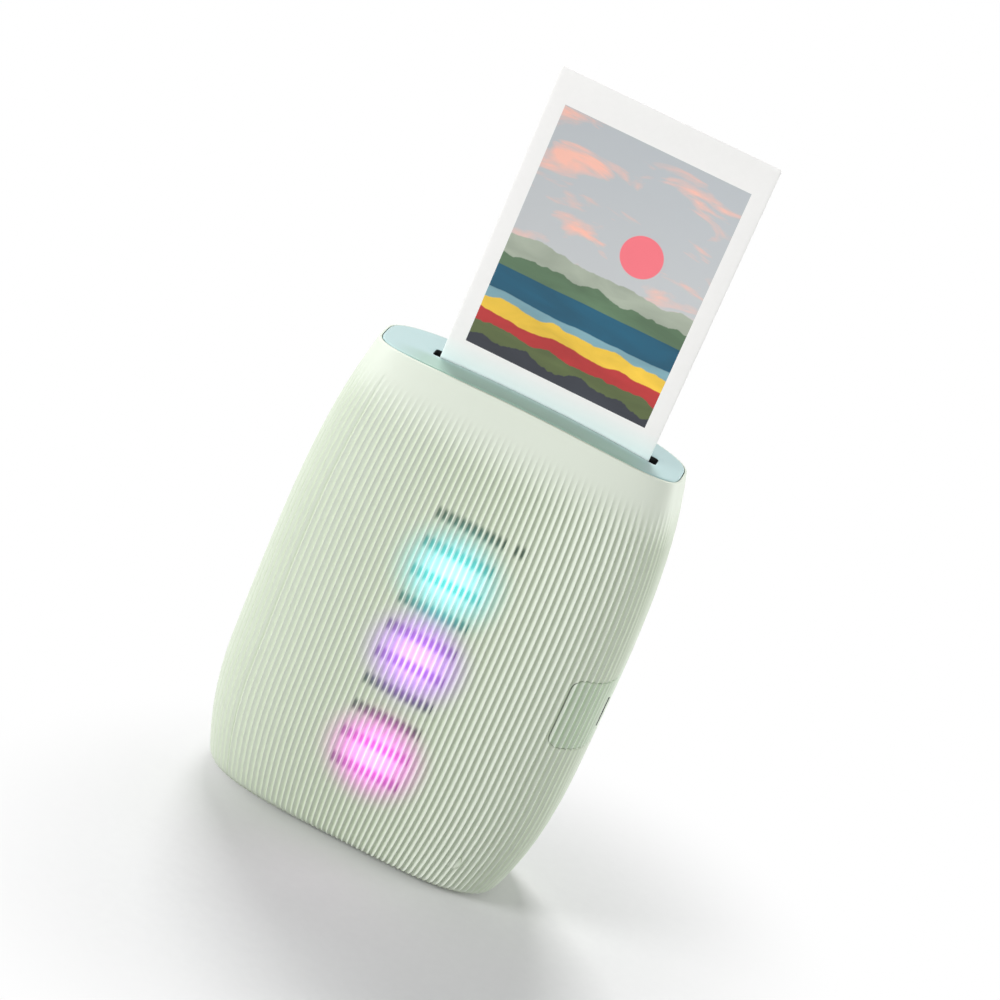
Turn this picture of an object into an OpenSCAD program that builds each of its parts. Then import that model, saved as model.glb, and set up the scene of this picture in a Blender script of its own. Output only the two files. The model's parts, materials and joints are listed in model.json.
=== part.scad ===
// Compact photo printer for instant film: a ribbed barrel housing that holds a film pack,
// an exposure head, a driven pair of rollers and three coloured lights behind the front ribs.
// Upright, front towards -Y, film door at the back, resting plane at z = 0.

/* [Body] */
// Overall width of the housing
body_w = 90.2; // [88:0.1:94]
// Overall depth of the housing
body_d = 37.3; // [36.8:0.1:40]
// Height of the housing above the film pack
head_room = 27; // [26.4:0.1:31.8]
// Height of the fullest section
belly_z = 38.4; // [32:0.1:44]
// Width of the housing at its top edge
top_w = 77.9; // [77.2:0.1:81]
// How far the front leans back from the belly to the top
front_lean = 4.25; // [3.5:0.05:4.7]
// How far the back leans forward from the belly to the top
back_lean = 12.45; // [11.5:0.05:12.9]
// How far each side draws in from the belly to the base
side_tuck = 6.3; // [5:0.1:7]
// How far the front draws in from the belly to the base
front_tuck = 1.6; // [1:0.1:2]
// Rise of the top edge from its ends to its middle
crown = 1.75; // [1:0.05:2.2]
// Squareness of the horizontal section at the belly
squareness = 3.5; // [3.3:0.05:4]
// Thickness of the housing wall
wall = 2; // [1.6:0.1:2.2]
// Thickness of the wall at the cap's seam
rim_wall = 0.5; // [0.4:0.05:0.8]
// Radius of the rounding at the base
base_round = 2.7; // [2:0.1:3]
// Height of the housing's lower edge above the resting plane
base_lift = 0.3; // [0.2:0.05:0.5]

/* [Ribs] */
// Distance from rib to rib round the belly
rib_pitch = 1.63; // [1.5:0.01:2.2]
// Depth of the grooves between the ribs
rib_depth = 0.45; // [0.2:0.05:0.6]
// Distance below the top edge at which the ribs start to fade out
fade_start = 13.2; // [11:0.1:21]
// Distance below the top edge at which the ribs have faded out
fade_end = 7.2; // [5:0.1:10]
// Number of ribs from the middle of the front to the side seam
seam_ribs = 22; // [21:1:22]

/* [Fits] */
// Width of a visible seam between two covers
seam = 0.25; // [0.2:0.05:0.35]
// Free space beside an inner piece that slides or drops in
slack = 0.3; // [0.2:0.05:0.4]
// Radial clearance of a turning shaft
running = 0.05; // [0.02:0.01:0.08]

/* [Print] */
// Width of the film sheet
sheet_w = 54; // [50:0.1:54.5]
// Height of the film sheet
sheet_h = 86; // [80:0.1:86.2]
// Thickness of the film sheet
sheet_t = 0.35; // [0.2:0.01:0.4]
// Width of the border beside the picture
side_border = 4; // [3.5:0.1:7]
// Height of the border above the picture
head_border = 8; // [6:0.1:12]
// Height of the border under the picture
foot_border = 16; // [14:0.1:17]
// Sideways place of the film path
film_x = 3; // [2.6:0.05:3.2]
// Depth place of the film path, in front of the middle when negative
film_y = -6.1; // [-6.4:0.05:-5.9]
// Depth of the coming print's lower edge below the top of the housing
print_drop = 9.95; // [7.2:0.05:11.7]

/* [Top slot] */
// Length of the slot that the print leaves by
slot_l = 57.6; // [56.6:0.1:58.4]
// Width of the slot
slot_w = 3.6; // [3:0.1:4]
// Distance of the slot's front edge from the middle of the print
slot_lead = 0.45; // [0.35:0.05:0.7]
// Corner radius of the slot
slot_corner = 0.7; // [0.4:0.1:1.2]
// Thickness of the cap
cap_t = 1.8; // [1.4:0.1:2.2]
// Height of the cap's skirt below its rim
cap_skirt = 3.6; // [3:0.1:4.2]

/* [Film pack] */
// Width of the film pack
pack_w = 60; // [59:0.1:60.4]
// Depth of the film pack
pack_d = 15.5; // [15:0.1:15.8]
// Free height above the sheets in the film pack
pack_head = 2.5; // [2.3:0.1:3]
// Height of the film pack's floor above the resting plane
pack_z = 7.7; // [7.6:0.1:8]
// Sheets still stacked in the pack
stack_sheets = 8; // [2:1:10]
// Wall of the film pack
pack_wall = 1.1; // [0.9:0.1:1.2]
// Thickness of the pack's floor under the sheets
pack_floor = 2; // [1.6:0.1:2.2]

/* [Rollers and gears] */
// Radius of each feed roller
roller_r = 2.5; // [2.3:0.05:2.6]
// Radius of the roller shafts
shaft_r = 1; // [0.8:0.05:1.1]
// Outer radius of the shaft bushings
bush_r = 1.6; // [1.4:0.05:1.7]
// Height of the roller shafts above the film pack
roller_rise = 11.8; // [10.8:0.1:12.3]
// Gap between a roller and the sheet
nip = 0.05; // [0.03:0.01:0.1]
// Teeth on each roller gear
roller_teeth = 13; // [12:1:14]
// Teeth on the idler gear
idler_teeth = 24; // [22:1:25]
// Teeth on the motor pinion
pinion_teeth = 8; // [8:1:10]
// Thickness of the gears
gear_t = 1.8; // [1.2:0.1:2]
// Slope of the gear train below the horizontal
train_slope = 69; // [66:1:72]
// Radius of the motor
motor_r = 3.5; // [3:0.1:3.6]
// Free space between the motor and the housing wall
motor_gap = 1.5; // [1:0.1:2.5]

/* [Film door] */
// Width of the film door
door_w = 71; // [70.6:0.1:72]
// Height of the film door's top edge above the film pack
door_over = 2; // [0.8:0.1:2.8]
// Distance of the hinge axis from the rearmost point of the housing
hinge_inset = 1.75; // [1.7:0.05:1.8]
// Height of the hinge axis
hinge_z = 4; // [3.9:0.05:4.2]
// Radius of the door's rounded lower edge
hinge_reach = 1.25; // [1.2:0.05:1.3]
// Radius of the hinge pins
hinge_pin_r = 0.6; // [0.5:0.05:0.65]
// Distance from the middle to each hinge lug of the door
hinge_x = 17; // [14:0.1:18]
// Travel of the latch
latch_travel = 2.5; // [2:0.1:2.8]

/* [Side button] */
// Height of the button's lower edge
button_low = 50.1; // [49:0.1:51]
// Height of the button's upper edge
button_high = 69.9; // [69:0.1:71]
// Depth place of the button's rear edge
button_back = 6; // [5:0.1:7]
// Corner radius of the button
button_round = 3; // [2:0.1:4]
// Thickness of the button
button_t = 1.6; // [1.4:0.1:1.8]
// Depth place of the slit for the status light
slit_y = -4.4; // [-5:0.1:-3]
// Length of the slit for the status light
slit_l = 8.3; // [6:0.1:10]
// Width of the slit for the status light
slit_w = 0.9; // [0.6:0.1:1.2]

/* [Lights] */
// Sideways place of the three lights
light_x = 0.5; // [-1:0.1:2]
// Height of the lowest light
light_low_z = 28; // [26:0.5:30]
// Height of the middle light
light_mid_z = 56.5; // [54:0.5:58]
// Height of the highest light
light_high_z = 81; // [78:0.5:83]

/* [Inner frame] */
// Thickness of the frame's side walls
frame_t = 1.5; // [1.2:0.1:1.6]
// Thickness of the frame's front wall
frame_front_t = 1.2; // [1:0.1:1.3]
// Space between the film pack and each side wall
pack_side_gap = 1; // [0.6:0.1:1]
// Thickness of the main circuit board
board_t = 1; // [0.8:0.1:1.2]
// Free space between the battery and the housing wall
battery_gap = 1.7; // [1:0.1:3]
// Depth of the battery
battery_d = 17; // [14:0.1:18]
// Height of the battery
battery_h = 52; // [40:0.5:56]
// Travel of the pick claw
claw_travel = 4; // [3:0.1:4]

/* [Hidden] */
$fn = 48;
tiny = 0.01;

sage = "#c3cfb6";
mint = "#c9e3e2";

// ---------- heights that follow the film ----------
pack_h = pack_floor + sheet_h + pack_head;
pack_top = pack_z + pack_h;
body_h = pack_top + head_room;
roller_z = pack_top + roller_rise;
door_top = pack_top + door_over;
print_z = body_h - print_drop;
fade_low = body_h - fade_start;
fade_high = body_h - fade_end;
image_w = sheet_w - 2 * side_border;
image_h = sheet_h - head_border - foot_border;

// ---------- barrel surface ----------
// Each horizontal section is a squared oval. Its half width, its front and its back follow
// bowed curves from the belly up to the top and down to the base.
top_bow = 3.57;
front_bow = 3.2;
back_bow = 2.6;
base_bow = 2.34;
back_tuck = 0.4;
top_squareness = squareness + 0.55;
rim_z = body_h - 3.7;
shoulder = fade_low - belly_z;
rings = [base_lift, 1.2, base_round + base_lift, 9, 22, belly_z, belly_z + 0.185 * shoulder,
         belly_z + 0.402 * shoulder, belly_z + 0.592 * shoulder, belly_z + 0.742 * shoulder,
         belly_z + 0.864 * shoulder, fade_low, fade_high, rim_z - 0.3, rim_z, body_h];

function rise(z) = max(0, (z - belly_z) / (body_h - belly_z));
function drop(z) = max(0, (belly_z - z) / belly_z);
function side_x(z) = body_w / 2 - (body_w - top_w) / 2 * pow(rise(z), top_bow) - side_tuck * pow(drop(z), base_bow);
function front_y(z) = body_d / 2 - front_lean * pow(rise(z), front_bow) - front_tuck * pow(drop(z), base_bow);
function back_y(z) = body_d / 2 - back_lean * pow(rise(z), back_bow) - back_tuck * pow(drop(z), base_bow);
function power(z) = squareness + (top_squareness - squareness) * rise(z);
function section_mid(z) = (back_y(z) - front_y(z)) / 2;
function section_half(z) = (front_y(z) + back_y(z)) / 2;
// Where a ray at angle t leaves the squared circle of power n
function ray(t, n) = [cos(t), sin(t)] / pow(pow(abs(cos(t)), n) + pow(abs(sin(t)), n), 1 / n);

// Point of the barrel at angle t and height z, drawn in by inset
function skin(t, z, inset) =
    let (e = ray(t, power(z)),
         x = (side_x(z) - inset) * e[0],
         y = section_mid(z) + (section_half(z) - inset) * e[1])
    [x, y, z - crown * pow(2 * x / top_w, 2) * rise(z)];
// Half width of the barrel at depth y and height z
function skin_x(y, z) =
    side_x(z) * pow(1 - pow(abs((y - section_mid(z)) / section_half(z)), power(z)), 1 / power(z));

// Equal steps along the belly, found by adding up short chords, so that the ribs are evenly spaced
chords = 720;
belly = [for (i = 0, s = 0, p = skin(-90, belly_z, 0), q = p; i <= chords;
              i = i + 1, q = p, p = skin(-90 + 360 * i / chords, belly_z, 0), s = s + norm(p - q))
         [s, -90 + 360 * i / chords]];
girth = belly[chords][0];
rib_count = 2 * round(girth / rib_pitch / 2);
columns = 2 * rib_count;
function wrap(j) = (j % columns + columns) % columns;
function column_angle(j) = lookup(girth * wrap(j) / columns, belly) + 360 * floor(j / columns);
function fade(z) = z <= fade_low ? 1 : z >= fade_high ? 0 : (fade_high - z) / (fade_high - fade_low);
function groove(j, z) = wrap(j) % 2 == 0 ? 0 : rib_depth * fade(z);
function base_inset(z) =
    let (up = base_round + base_lift - z)
    up <= 0 ? 0 : base_round - sqrt(max(0, base_round * base_round - up * up));
function inner_inset(z, t) =
    z >= body_h - tiny ? min(t, rim_wall) :
    z >= rim_z - tiny ? min(t, rim_wall + 0.55) :
    z >= rim_z - 1 ? t + 0.9 :
    max(t, base_inset(z) + 0.8 * t);

// Columns of the seams: odd columns are grooves
seam_column = 2 * seam_ribs + 1;
back_column = columns / 2;

// Ribbed wall between two columns and two rings. Its inner side is smooth and has fewer columns.
// A plain wall lies at the bottom of the grooves.
module ribbed_wall(first, last, low, high, t, plain = false) {
    wide = last - first;
    tall = high - low;
    coarse = ceil(wide / 4);
    step = [for (i = [0:coarse]) round(wide * i / coarse)];
    row = wide + 1;
    inner_row = coarse + 1;
    outer = [for (r = [low:high]) for (j = [first:last])
             skin(column_angle(j), rings[r], base_inset(rings[r]) + (plain ? rib_depth : groove(j, rings[r])))];
    inner = [for (r = [low:high]) for (i = [0:coarse])
             skin(column_angle(first + step[i]), rings[r], inner_inset(rings[r], t))];
    base = len(outer);
    o = function (r, j) r * row + j;
    n = function (r, i) base + r * inner_row + i;
    faces = concat(
        [for (r = [0:tall - 1]) for (j = [0:wide - 1])
         each [[o(r, j), o(r + 1, j), o(r + 1, j + 1)], [o(r, j), o(r + 1, j + 1), o(r, j + 1)]]],
        [for (r = [0:tall - 1]) for (i = [0:coarse - 1])
         each [[n(r, i), n(r + 1, i + 1), n(r + 1, i)], [n(r, i), n(r, i + 1), n(r + 1, i + 1)]]],
        [for (i = [0:coarse - 1]) for (j = [step[i]:step[i + 1] - 1])
         each [[o(0, j), o(0, j + 1), n(0, i)], [o(tall, j), n(tall, i), o(tall, j + 1)]]],
        [for (i = [0:coarse - 1])
         each [[o(0, step[i + 1]), n(0, i + 1), n(0, i)], [o(tall, step[i + 1]), n(tall, i), n(tall, i + 1)]]],
        [for (r = [0:tall - 1])
         each [[o(r, 0), n(r, 0), n(r + 1, 0)], [o(r, 0), n(r + 1, 0), o(r + 1, 0)],
               [o(r, wide), n(r + 1, coarse), n(r, coarse)], [o(r, wide), o(r + 1, wide), n(r + 1, coarse)]]]);
    polyhedron(concat(outer, inner), faces, convexity = 10);
}

// Outline of a horizontal section, drawn in by inset
module section(z, inset, steps = 96) {
    polygon([for (i = [0:steps - 1]) let (p = skin(360 * (i + 0.5) / steps, z, inset)) [p[0], p[1]]]);
}

// ---------- plain shapes ----------
module block(low, high) {
    translate(low) cube(high - low);
}
module rod_x(x0, x1, y, z, r) {
    translate([x0, y, z]) rotate([0, 90, 0]) cylinder(r = r, h = x1 - x0);
}
module rod_y(y0, y1, x, z, r) {
    translate([x, y1, z]) rotate([90, 0, 0]) cylinder(r = r, h = y1 - y0);
}
module rod_z(z0, z1, x, y, r) {
    translate([x, y, z0]) cylinder(r = r, h = z1 - z0);
}
// Rectangle with round corners, from corner to corner
module rounded(low, high, r) {
    size = high - low;
    translate(low + size / 2) {
        square([size[0], size[1] - 2 * r], center = true);
        square([size[0] - 2 * r, size[1]], center = true);
        for (sx = [-1, 1]) for (sy = [-1, 1])
            translate([sx * (size[0] / 2 - r), sy * (size[1] / 2 - r)]) circle(r = r);
    }
}
// Coil spring upright on the origin
module coil(r, wire, turns, length) {
    sides = 4;
    steps = 8 * turns;
    points = [for (i = [0:steps]) for (k = [0:sides - 1])
              let (a = 360 * turns * i / steps, b = 360 * k / sides, w = r + wire * cos(b))
              [w * cos(a), w * sin(a), wire + (length - 2 * wire) * i / steps + wire * sin(b)]];
    polyhedron(points, concat(
        [for (i = [0:steps - 1]) for (k = [0:sides - 1])
         let (a = i * sides + k, b = i * sides + (k + 1) % sides)
         each [[a, a + sides, b + sides], [a, b + sides, b]]],
        [[for (k = [0:sides - 1]) k], [for (k = [sides - 1:-1:0]) steps * sides + k]]), convexity = 8);
}

// ---------- film path ----------
sheet_left = film_x - sheet_w / 2;
sheet_right = film_x + sheet_w / 2;
slot_front = film_y - slot_lead;
slot_back = slot_front + slot_w;
module slot_outline() {
    rounded([film_x - slot_l / 2, slot_front], [film_x + slot_l / 2, slot_back], slot_corner);
}

// ---------- film pack ----------
pack_front = film_y - sheet_t / 2 - slack + 0.075 - pack_wall;
pack_back = pack_front + pack_d;
pack_left = film_x - pack_w / 2;
pack_right = film_x + pack_w / 2;
sheet_rest_z = pack_z + pack_floor;
stack_front = film_y + sheet_t / 2 + slack + 0.025;
stack_back = stack_front + stack_sheets * sheet_t;
plate_t = 1;
finger_z = sheet_rest_z + 0.2;
finger_h = 1;

// ---------- inner frame ----------
frame_left = pack_left - pack_side_gap - frame_t;
frame_right = pack_right + pack_side_gap + frame_t;
frame_front = pack_front - slack - frame_front_t;
frame_back = pack_back + 0.7;
frame_low = pack_z - slack - 1.4;
frame_neck = pack_top + 0.8;
frame_top = roller_z + 2.6;
frame_neck_front = -10.9;
frame_neck_back = 1.5;

// ---------- rollers and gears ----------
roller_offset = sheet_t / 2 + nip + roller_r;
drive_y = film_y - roller_offset;
pinch_y = film_y + roller_offset;
module_size = 2 * roller_offset / roller_teeth;
pitch_r = function (teeth) module_size * teeth / 2;
idler_reach = pitch_r(roller_teeth) + pitch_r(idler_teeth);
pinion_reach = pitch_r(idler_teeth) + pitch_r(pinion_teeth);
train_dir = [cos(train_slope), -sin(train_slope)];
idler_at = [pinch_y, roller_z] + idler_reach * train_dir;
pinion_at = idler_at + pinion_reach * train_dir;
gear_right = frame_left - slack;
gear_left = gear_right - gear_t;
pressure_angle = 25;
function involute(a) = tan(a) * 180 / PI - a;
function gear_outline(teeth) =
    let (p = pitch_r(teeth),
         base = p * cos(pressure_angle),
         tip = p + 0.75 * module_size,
         root = p - module_size,
         low = max(base, root) + tiny,
         half = 90 / teeth - 4 / teeth + involute(pressure_angle),
         flank = [for (i = [0:4]) let (r = low + (tip - low) * i / 4) [r, half - involute(acos(base / r))]])
    [for (k = [0:teeth - 1])
     each concat([[root, -flank[0][1]]], [for (f = flank) [f[0], -f[1]]],
                 [for (i = [4:-1:0]) flank[i]], [[root, flank[0][1]]])];
module gear(at, teeth, turn) {
    points = gear_outline(teeth);
    per = len(points) / teeth;
    translate([gear_left, at[0], at[1]]) rotate([90, 0, 90]) linear_extrude(gear_t)
        polygon([for (i = [0:len(points) - 1])
                 let (a = turn + 360 * floor(i / per) / teeth + points[i][1])
                 points[i][0] * [cos(a), sin(a)]]);
}
// Turn that puts a gear in mesh with its neighbour: direction to it, its turn and its teeth
function mesh_turn(direction, turn, teeth, own_teeth) =
    direction + 180 + (direction - turn) * teeth / own_teeth + 180 / own_teeth;
pinch_turn = 0;
drive_turn = mesh_turn(180, pinch_turn, roller_teeth, roller_teeth);
idler_turn = mesh_turn(-train_slope, pinch_turn, roller_teeth, idler_teeth);
pinion_turn = mesh_turn(-train_slope, idler_turn, idler_teeth, pinion_teeth);
idler_pin_r = 0.9;
pinion_shaft_r = 0.7;

// ---------- door ----------
door_half = door_w / 2;
door_corner = 3;
ear_x = hinge_x + 4.7;
ear_half = 1.3;
hinge_y = body_d / 2 - hinge_inset;
lip_z = hinge_z - hinge_inset - 0.15;
latch_floor_y = back_y(door_top) - 2.7;
latch_t = 1.2;
latch_half = 6;
latch_tongue = 3.5;
latch_low = door_top - 14.2;
latch_high = door_top - 3.9;
latch_tip = door_top + 1.9;
pocket_low = latch_low - latch_travel - 3.2;
window_x = film_x + 17;
window_low = pack_z + pack_h / 2 - 0.95;
window_high = window_low + 20;
window_half = 3;

// Space of the door in the housing, grown or shrunk by grow
module door_space(grow) {
    translate([0, 60, 0]) rotate([90, 0, 0]) linear_extrude(54)
        rounded([-door_half - grow, hinge_z - door_corner], [door_half + grow, door_top + grow], door_corner);
}
module door_bound(grow) {
    difference() {
        door_space(grow);
        block([-60, 0, -5], [60, 70, hinge_z]);
    }
    corner = grow > 0 ? (hinge_reach + grow) / cos(22.5) : hinge_reach;
    translate([-door_half - grow, hinge_y, hinge_z]) rotate([90, 0, 90]) linear_extrude(door_w + 2 * grow)
        polygon([for (a = [22.5:45:337.5]) corner * [cos(a), sin(a)]]);
}

// ---------- button ----------
button_seam_x = skin(column_angle(seam_column), (button_low + button_high) / 2, 0)[0];
pivot = [36.2, -10.3];
pivot_r = 0.8;
switch_x = 38;
switch_y = 2;
switch_z = (button_low + button_high) / 2;
module button_space(shrink) {
    intersection() {
        translate([0, 20, 0]) rotate([90, 0, 0]) linear_extrude(60)
            rounded([button_seam_x - 1.5, button_low + shrink], [70, button_high - shrink], button_round);
        translate([20, 0, 0]) rotate([90, 0, 90]) linear_extrude(40)
            rounded([-40, button_low + shrink], [button_back - 2 * shrink, button_high - shrink], button_round);
    }
}

// ---------- lights and boards ----------
board_back = frame_front - slack;
board_front = board_back - board_t;
led_y = -12.8;
led_board_t = 0.8;
led_t = 0.7;
diffuser_y = led_y - led_board_t - led_t - slack;
diffuser_t = 0.7;
lights = [light_low_z, light_mid_z, light_high_z];

// ---------- base ----------
foot_t = 0.9;
base_plate_t = 2;
hinge_clear_z = 1.2;
screw_spots = [for (x = [-25, 25]) for (y = [-3.5, 4]) [x, y]];
screw_r = 1;
screw_head_r = 2;

boss_low_z = pack_z + 2.8;
boss_high_z = pack_top - 3.7;

// ================= pieces =================

module front_shell() {
    color(sage) union() {
        ribbed_wall(-seam_column, seam_column, 0, len(rings) - 1, wall);
        for (x = [film_x - 25, film_x + 25]) {
            rod_y(-front_y(boss_low_z) + wall, frame_front, x, boss_low_z, 2.2);
            rod_y(-front_y(boss_high_z) + wall, frame_front, x, boss_high_z, 2.2);
        }
    }
}

module rear_shell() {
    port_z = usb_z;
    color(sage) difference() {
        ribbed_wall(seam_column, columns - seam_column, 0, len(rings) - 1, wall);
        door_bound(seam);
        block([-door_half - seam, hinge_y, lip_z], [door_half + seam, 60, hinge_z + 1]);
        button_space(0);
        block([-latch_tongue - slack, 5, door_top], [latch_tongue + slack, 30, latch_tip + slack]);
        translate([-60, 0, 0]) rotate([90, 0, 90]) linear_extrude(30)
            rounded([-usb_w / 2 - seam, port_z - usb_h / 2 - seam],
                    [usb_w / 2 + seam, port_z + usb_h / 2 + seam], usb_h / 2 + seam - tiny);
    }
}

cap_inset = rim_wall + seam;
cap_low = body_h - cap_skirt;
crown_r = (pow(top_w / 2, 2) + crown * crown) / (2 * crown);
module crown_space(lower) {
    translate([0, 40, body_h - crown_r - lower]) rotate([90, 0, 0]) cylinder(r = crown_r, h = 90, $fn = 200);
}
module top_cap() {
    color(mint) difference() {
        intersection() {
            translate([0, 0, cap_low - crown]) linear_extrude(cap_skirt + crown + 1) section(body_h, cap_inset);
            translate([0, 40, body_h - crown_r]) rotate([90, 0, 0]) linear_extrude(90) difference() {
                circle(r = crown_r, $fn = 200);
                circle(r = crown_r - cap_skirt, $fn = 200);
            }
        }
        intersection() {
            translate([0, 0, cap_low - 4]) linear_extrude(cap_skirt + 5) section(body_h, cap_inset + 1.2);
            crown_space(cap_t);
        }
        translate([0, 0, cap_low - 1]) linear_extrude(cap_skirt + 5) slot_outline();
    }
}

guide_top = body_h - cap_t - crown - slack;
guide_front = slot_front - 1.65;
guide_back = slot_back + 1.55;
module exit_guide() {
    color("#15191a") difference() {
        union() {
            block([film_x - slot_l / 2 - 1.7, guide_front, frame_top], [film_x + slot_l / 2 + 1.7, guide_back, guide_top]);
            block([frame_left, guide_front, frame_top], [frame_right, guide_back, frame_top + 1.4]);
        }
        translate([0, 0, frame_top + 1.4]) linear_extrude(20) slot_outline();
        block([film_x - slot_l / 2, slot_front, frame_top - 1], [film_x + slot_l / 2, film_y + 0.9, frame_top + 2]);
    }
}

module slot_seal() {
    color("#1d2222") block([film_x - slot_l / 2 + slot_corner, film_y + sheet_t / 2 + nip, frame_top + 2.2],
                           [film_x + slot_l / 2 - slot_corner, slot_back, frame_top + 3.2]);
}

module base_cover() {
    color(sage) difference() {
        union() {
            translate([0, 0, base_lift]) linear_extrude(hinge_clear_z - base_lift)
                section(base_lift, base_round + 0.8 * wall + seam);
            translate([0, 0, base_lift]) linear_extrude(base_plate_t) intersection() {
                section(base_lift, base_round + 0.8 * wall + seam);
                translate([-50, -40]) square([100, 46.5]);
            }
            for (p = screw_spots) rod_z(hinge_clear_z, frame_low, p[0], p[1], 2.6);
        }
        translate([0, 0, base_lift - 1]) linear_extrude(foot_t - base_lift + 1)
            rounded([-20 - slack, -10 - slack], [20 + slack, 5 + slack], 4 + slack);
        for (p = screw_spots) {
            rod_z(-1, frame_low + 1, p[0], p[1], screw_r + running);
            rod_z(-1, base_lift + 1.4, p[0], p[1], screw_head_r + running);
        }
    }
}

module base_foot() {
    color("#8e9688") linear_extrude(foot_t) rounded([-20, -10], [20, 5], 4);
}

module case_screws() {
    color("#8a8f92") for (p = screw_spots) {
        rod_z(base_lift + 0.3, base_lift + 1.4, p[0], p[1], screw_head_r);
        rod_z(base_lift + 1.4, frame_low + 1.2, p[0], p[1], screw_r);
    }
}

module film_door() {
    color(sage) difference() {
        union() {
            intersection() {
                ribbed_wall(back_column - door_columns, back_column + door_columns, 1, door_ring, wall);
                door_bound(0);
            }
            for (x = [film_x - 18, film_x + 11]) door_rib(x, x + 1.5, pack_back + slack, hinge_z + 8, door_top - 8.2);
            // tray behind the latch
            door_rib(-latch_half - 2, latch_half + 2, latch_floor_y - 1.2, pocket_low - 1.6, pocket_low);
            for (x = [-latch_half - 2, latch_half + slack])
                door_rib(x, x + 2 - slack, latch_floor_y - 1.2, pocket_low - 1.6, pack_top - 0.2);
            block([-latch_half - 2, latch_floor_y - 1.2, pocket_low - 1.6], [latch_half + 2, latch_floor_y, pack_top - 0.2]);
            for (s = [-1, 1]) hinge_lug(s);
        }
        block([-latch_half - slack, latch_floor_y, pocket_low], [latch_half + slack, 40, latch_high + slack]);
        block([-latch_tongue - slack, latch_floor_y, pocket_low], [latch_tongue + slack, 40, door_top + 1]);
        block([window_x - window_half, 5, window_low], [window_x + window_half, 40, window_high]);
        for (s = [-1, 1]) {
            rod_x(s * (hinge_x + 1.5) - 3, s * (hinge_x + 1.5) + 3, hinge_y, hinge_z, hinge_pin_r + running);
            block([s * ear_x - ear_half - seam, 5, 0], [s * ear_x + ear_half + seam, 40, hinge_z + hinge_reach + slack]);
        }
    }
}
door_columns = 2 * ceil((door_half + 6) / rib_pitch);
door_ring = 10;
// Upright rib on the inner side of the door, from depth y to the door's wall
module door_rib(x0, x1, y, z0, z1) {
    steps = 10;
    edge = [for (i = [0:steps]) let (z = z0 + (z1 - z0) * i / steps) [back_y(z) - wall + 0.1, z]];
    translate([x0, 0, 0]) rotate([90, 0, 90]) linear_extrude(x1 - x0) polygon(concat([[y, z0]], edge, [[y, z1]]));
}
module hinge_lug(s) {
    x = s * (hinge_x + 1.5) - 1.5;
    r = hinge_reach;
    translate([x, hinge_y, hinge_z]) rotate([90, 0, 90]) linear_extrude(3)
        polygon([[0.9, -0.7], [0.9, 4.5], [-0.3, 4.5], [-r, 0.5], [-r, -0.4], [-0.45, -0.9 * r], [0.45, -0.9 * r]]);
}

module pack_window() {
    color("#20302c", 0.7) intersection() {
        block([window_x - window_half, 5, window_low], [window_x + window_half, 40, window_high]);
        ribbed_wall(back_column - 2 * ceil((window_x + 6) / rib_pitch),
                    back_column - 2 * floor((window_x - 6) / rib_pitch), 5, 8, wall, true);
    }
}

module door_seal() {
    color("#1d2222") for (x = [frame_left, frame_right - frame_t])
        block([x, frame_back, pack_z + 6.3], [x + frame_t, frame_back + 1.2, pack_top - 8.2]);
}

module door_latch() {
    y0 = latch_floor_y + slack;
    color("#dfe6d8") union() {
        block([-latch_half, y0, latch_low], [latch_half, y0 + latch_t, latch_high]);
        block([-latch_tongue, y0, latch_high - 1], [latch_tongue, y0 + latch_t, latch_tip]);
        for (i = [0:3])
            block([-latch_half + 1, y0, latch_low + 1 + 2 * i], [latch_half - 1, y0 + 2.6, latch_low + 2 + 2 * i]);
    }
}

spring_low = pocket_low;
module latch_spring() {
    color("#b9bcc0") translate([0, latch_floor_y + slack + 1, spring_low])
        coil(0.9, 0.18, 4, latch_low - spring_low);
}

module hinge_pins() {
    color("#b9bcc0") for (s = [-1, 1])
        rod_x(min(s * hinge_x, s * (hinge_x + 6)), max(s * hinge_x, s * (hinge_x + 6)), hinge_y, hinge_z, hinge_pin_r);
}

module power_button() {
    arm_z = [button_low + seam + 0.4, button_high - seam - 2];
    color("#c6d6bb") difference() {
        union() {
            intersection() {
                ribbed_wall(seam_column, seam_column + 38, 5, 8, button_t);
                button_space(seam);
                block([button_seam_x + seam - 0.6, -40, 0], [60, 40, 120]);
            }
            for (z = arm_z) translate([0, 0, z]) linear_extrude(1.6) button_arm();
            rod_z(button_low - 2.2, button_high + 2.2, pivot[0], pivot[1], pivot_r);
            rod_x(switch_x + 2.9, skin_x(switch_y, switch_z) - 0.8, switch_y, switch_z, 1.2);
        }
        slit_cut();
    }
}
module button_arm() {
    middle = (button_low + button_high) / 2;
    reach = [for (j = [seam_column + 3:2:seam_column + 15])
             let (p = skin(column_angle(j), middle, 0.8 + rib_depth)) [p[0], p[1]]];
    polygon(concat([pivot + [-0.9, 0.9], pivot + [-0.9, -1]], reach, [pivot + [0.9, 1]]));
}
module slit_cut() {
    middle = (55.2 + 63.5) / 2;
    block([38, slit_y - slit_w / 2, middle - slit_l / 2], [50, slit_y + slit_w / 2, middle + slit_l / 2]);
}
module status_window() {
    outer_x = skin_x(slit_y, button_high - 4) - rib_depth - 0.3;
    color("#10211c") intersection() {
        slit_cut();
        block([outer_x - 1.2, -10, 0], [outer_x, 10, 120]);
    }
}

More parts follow.
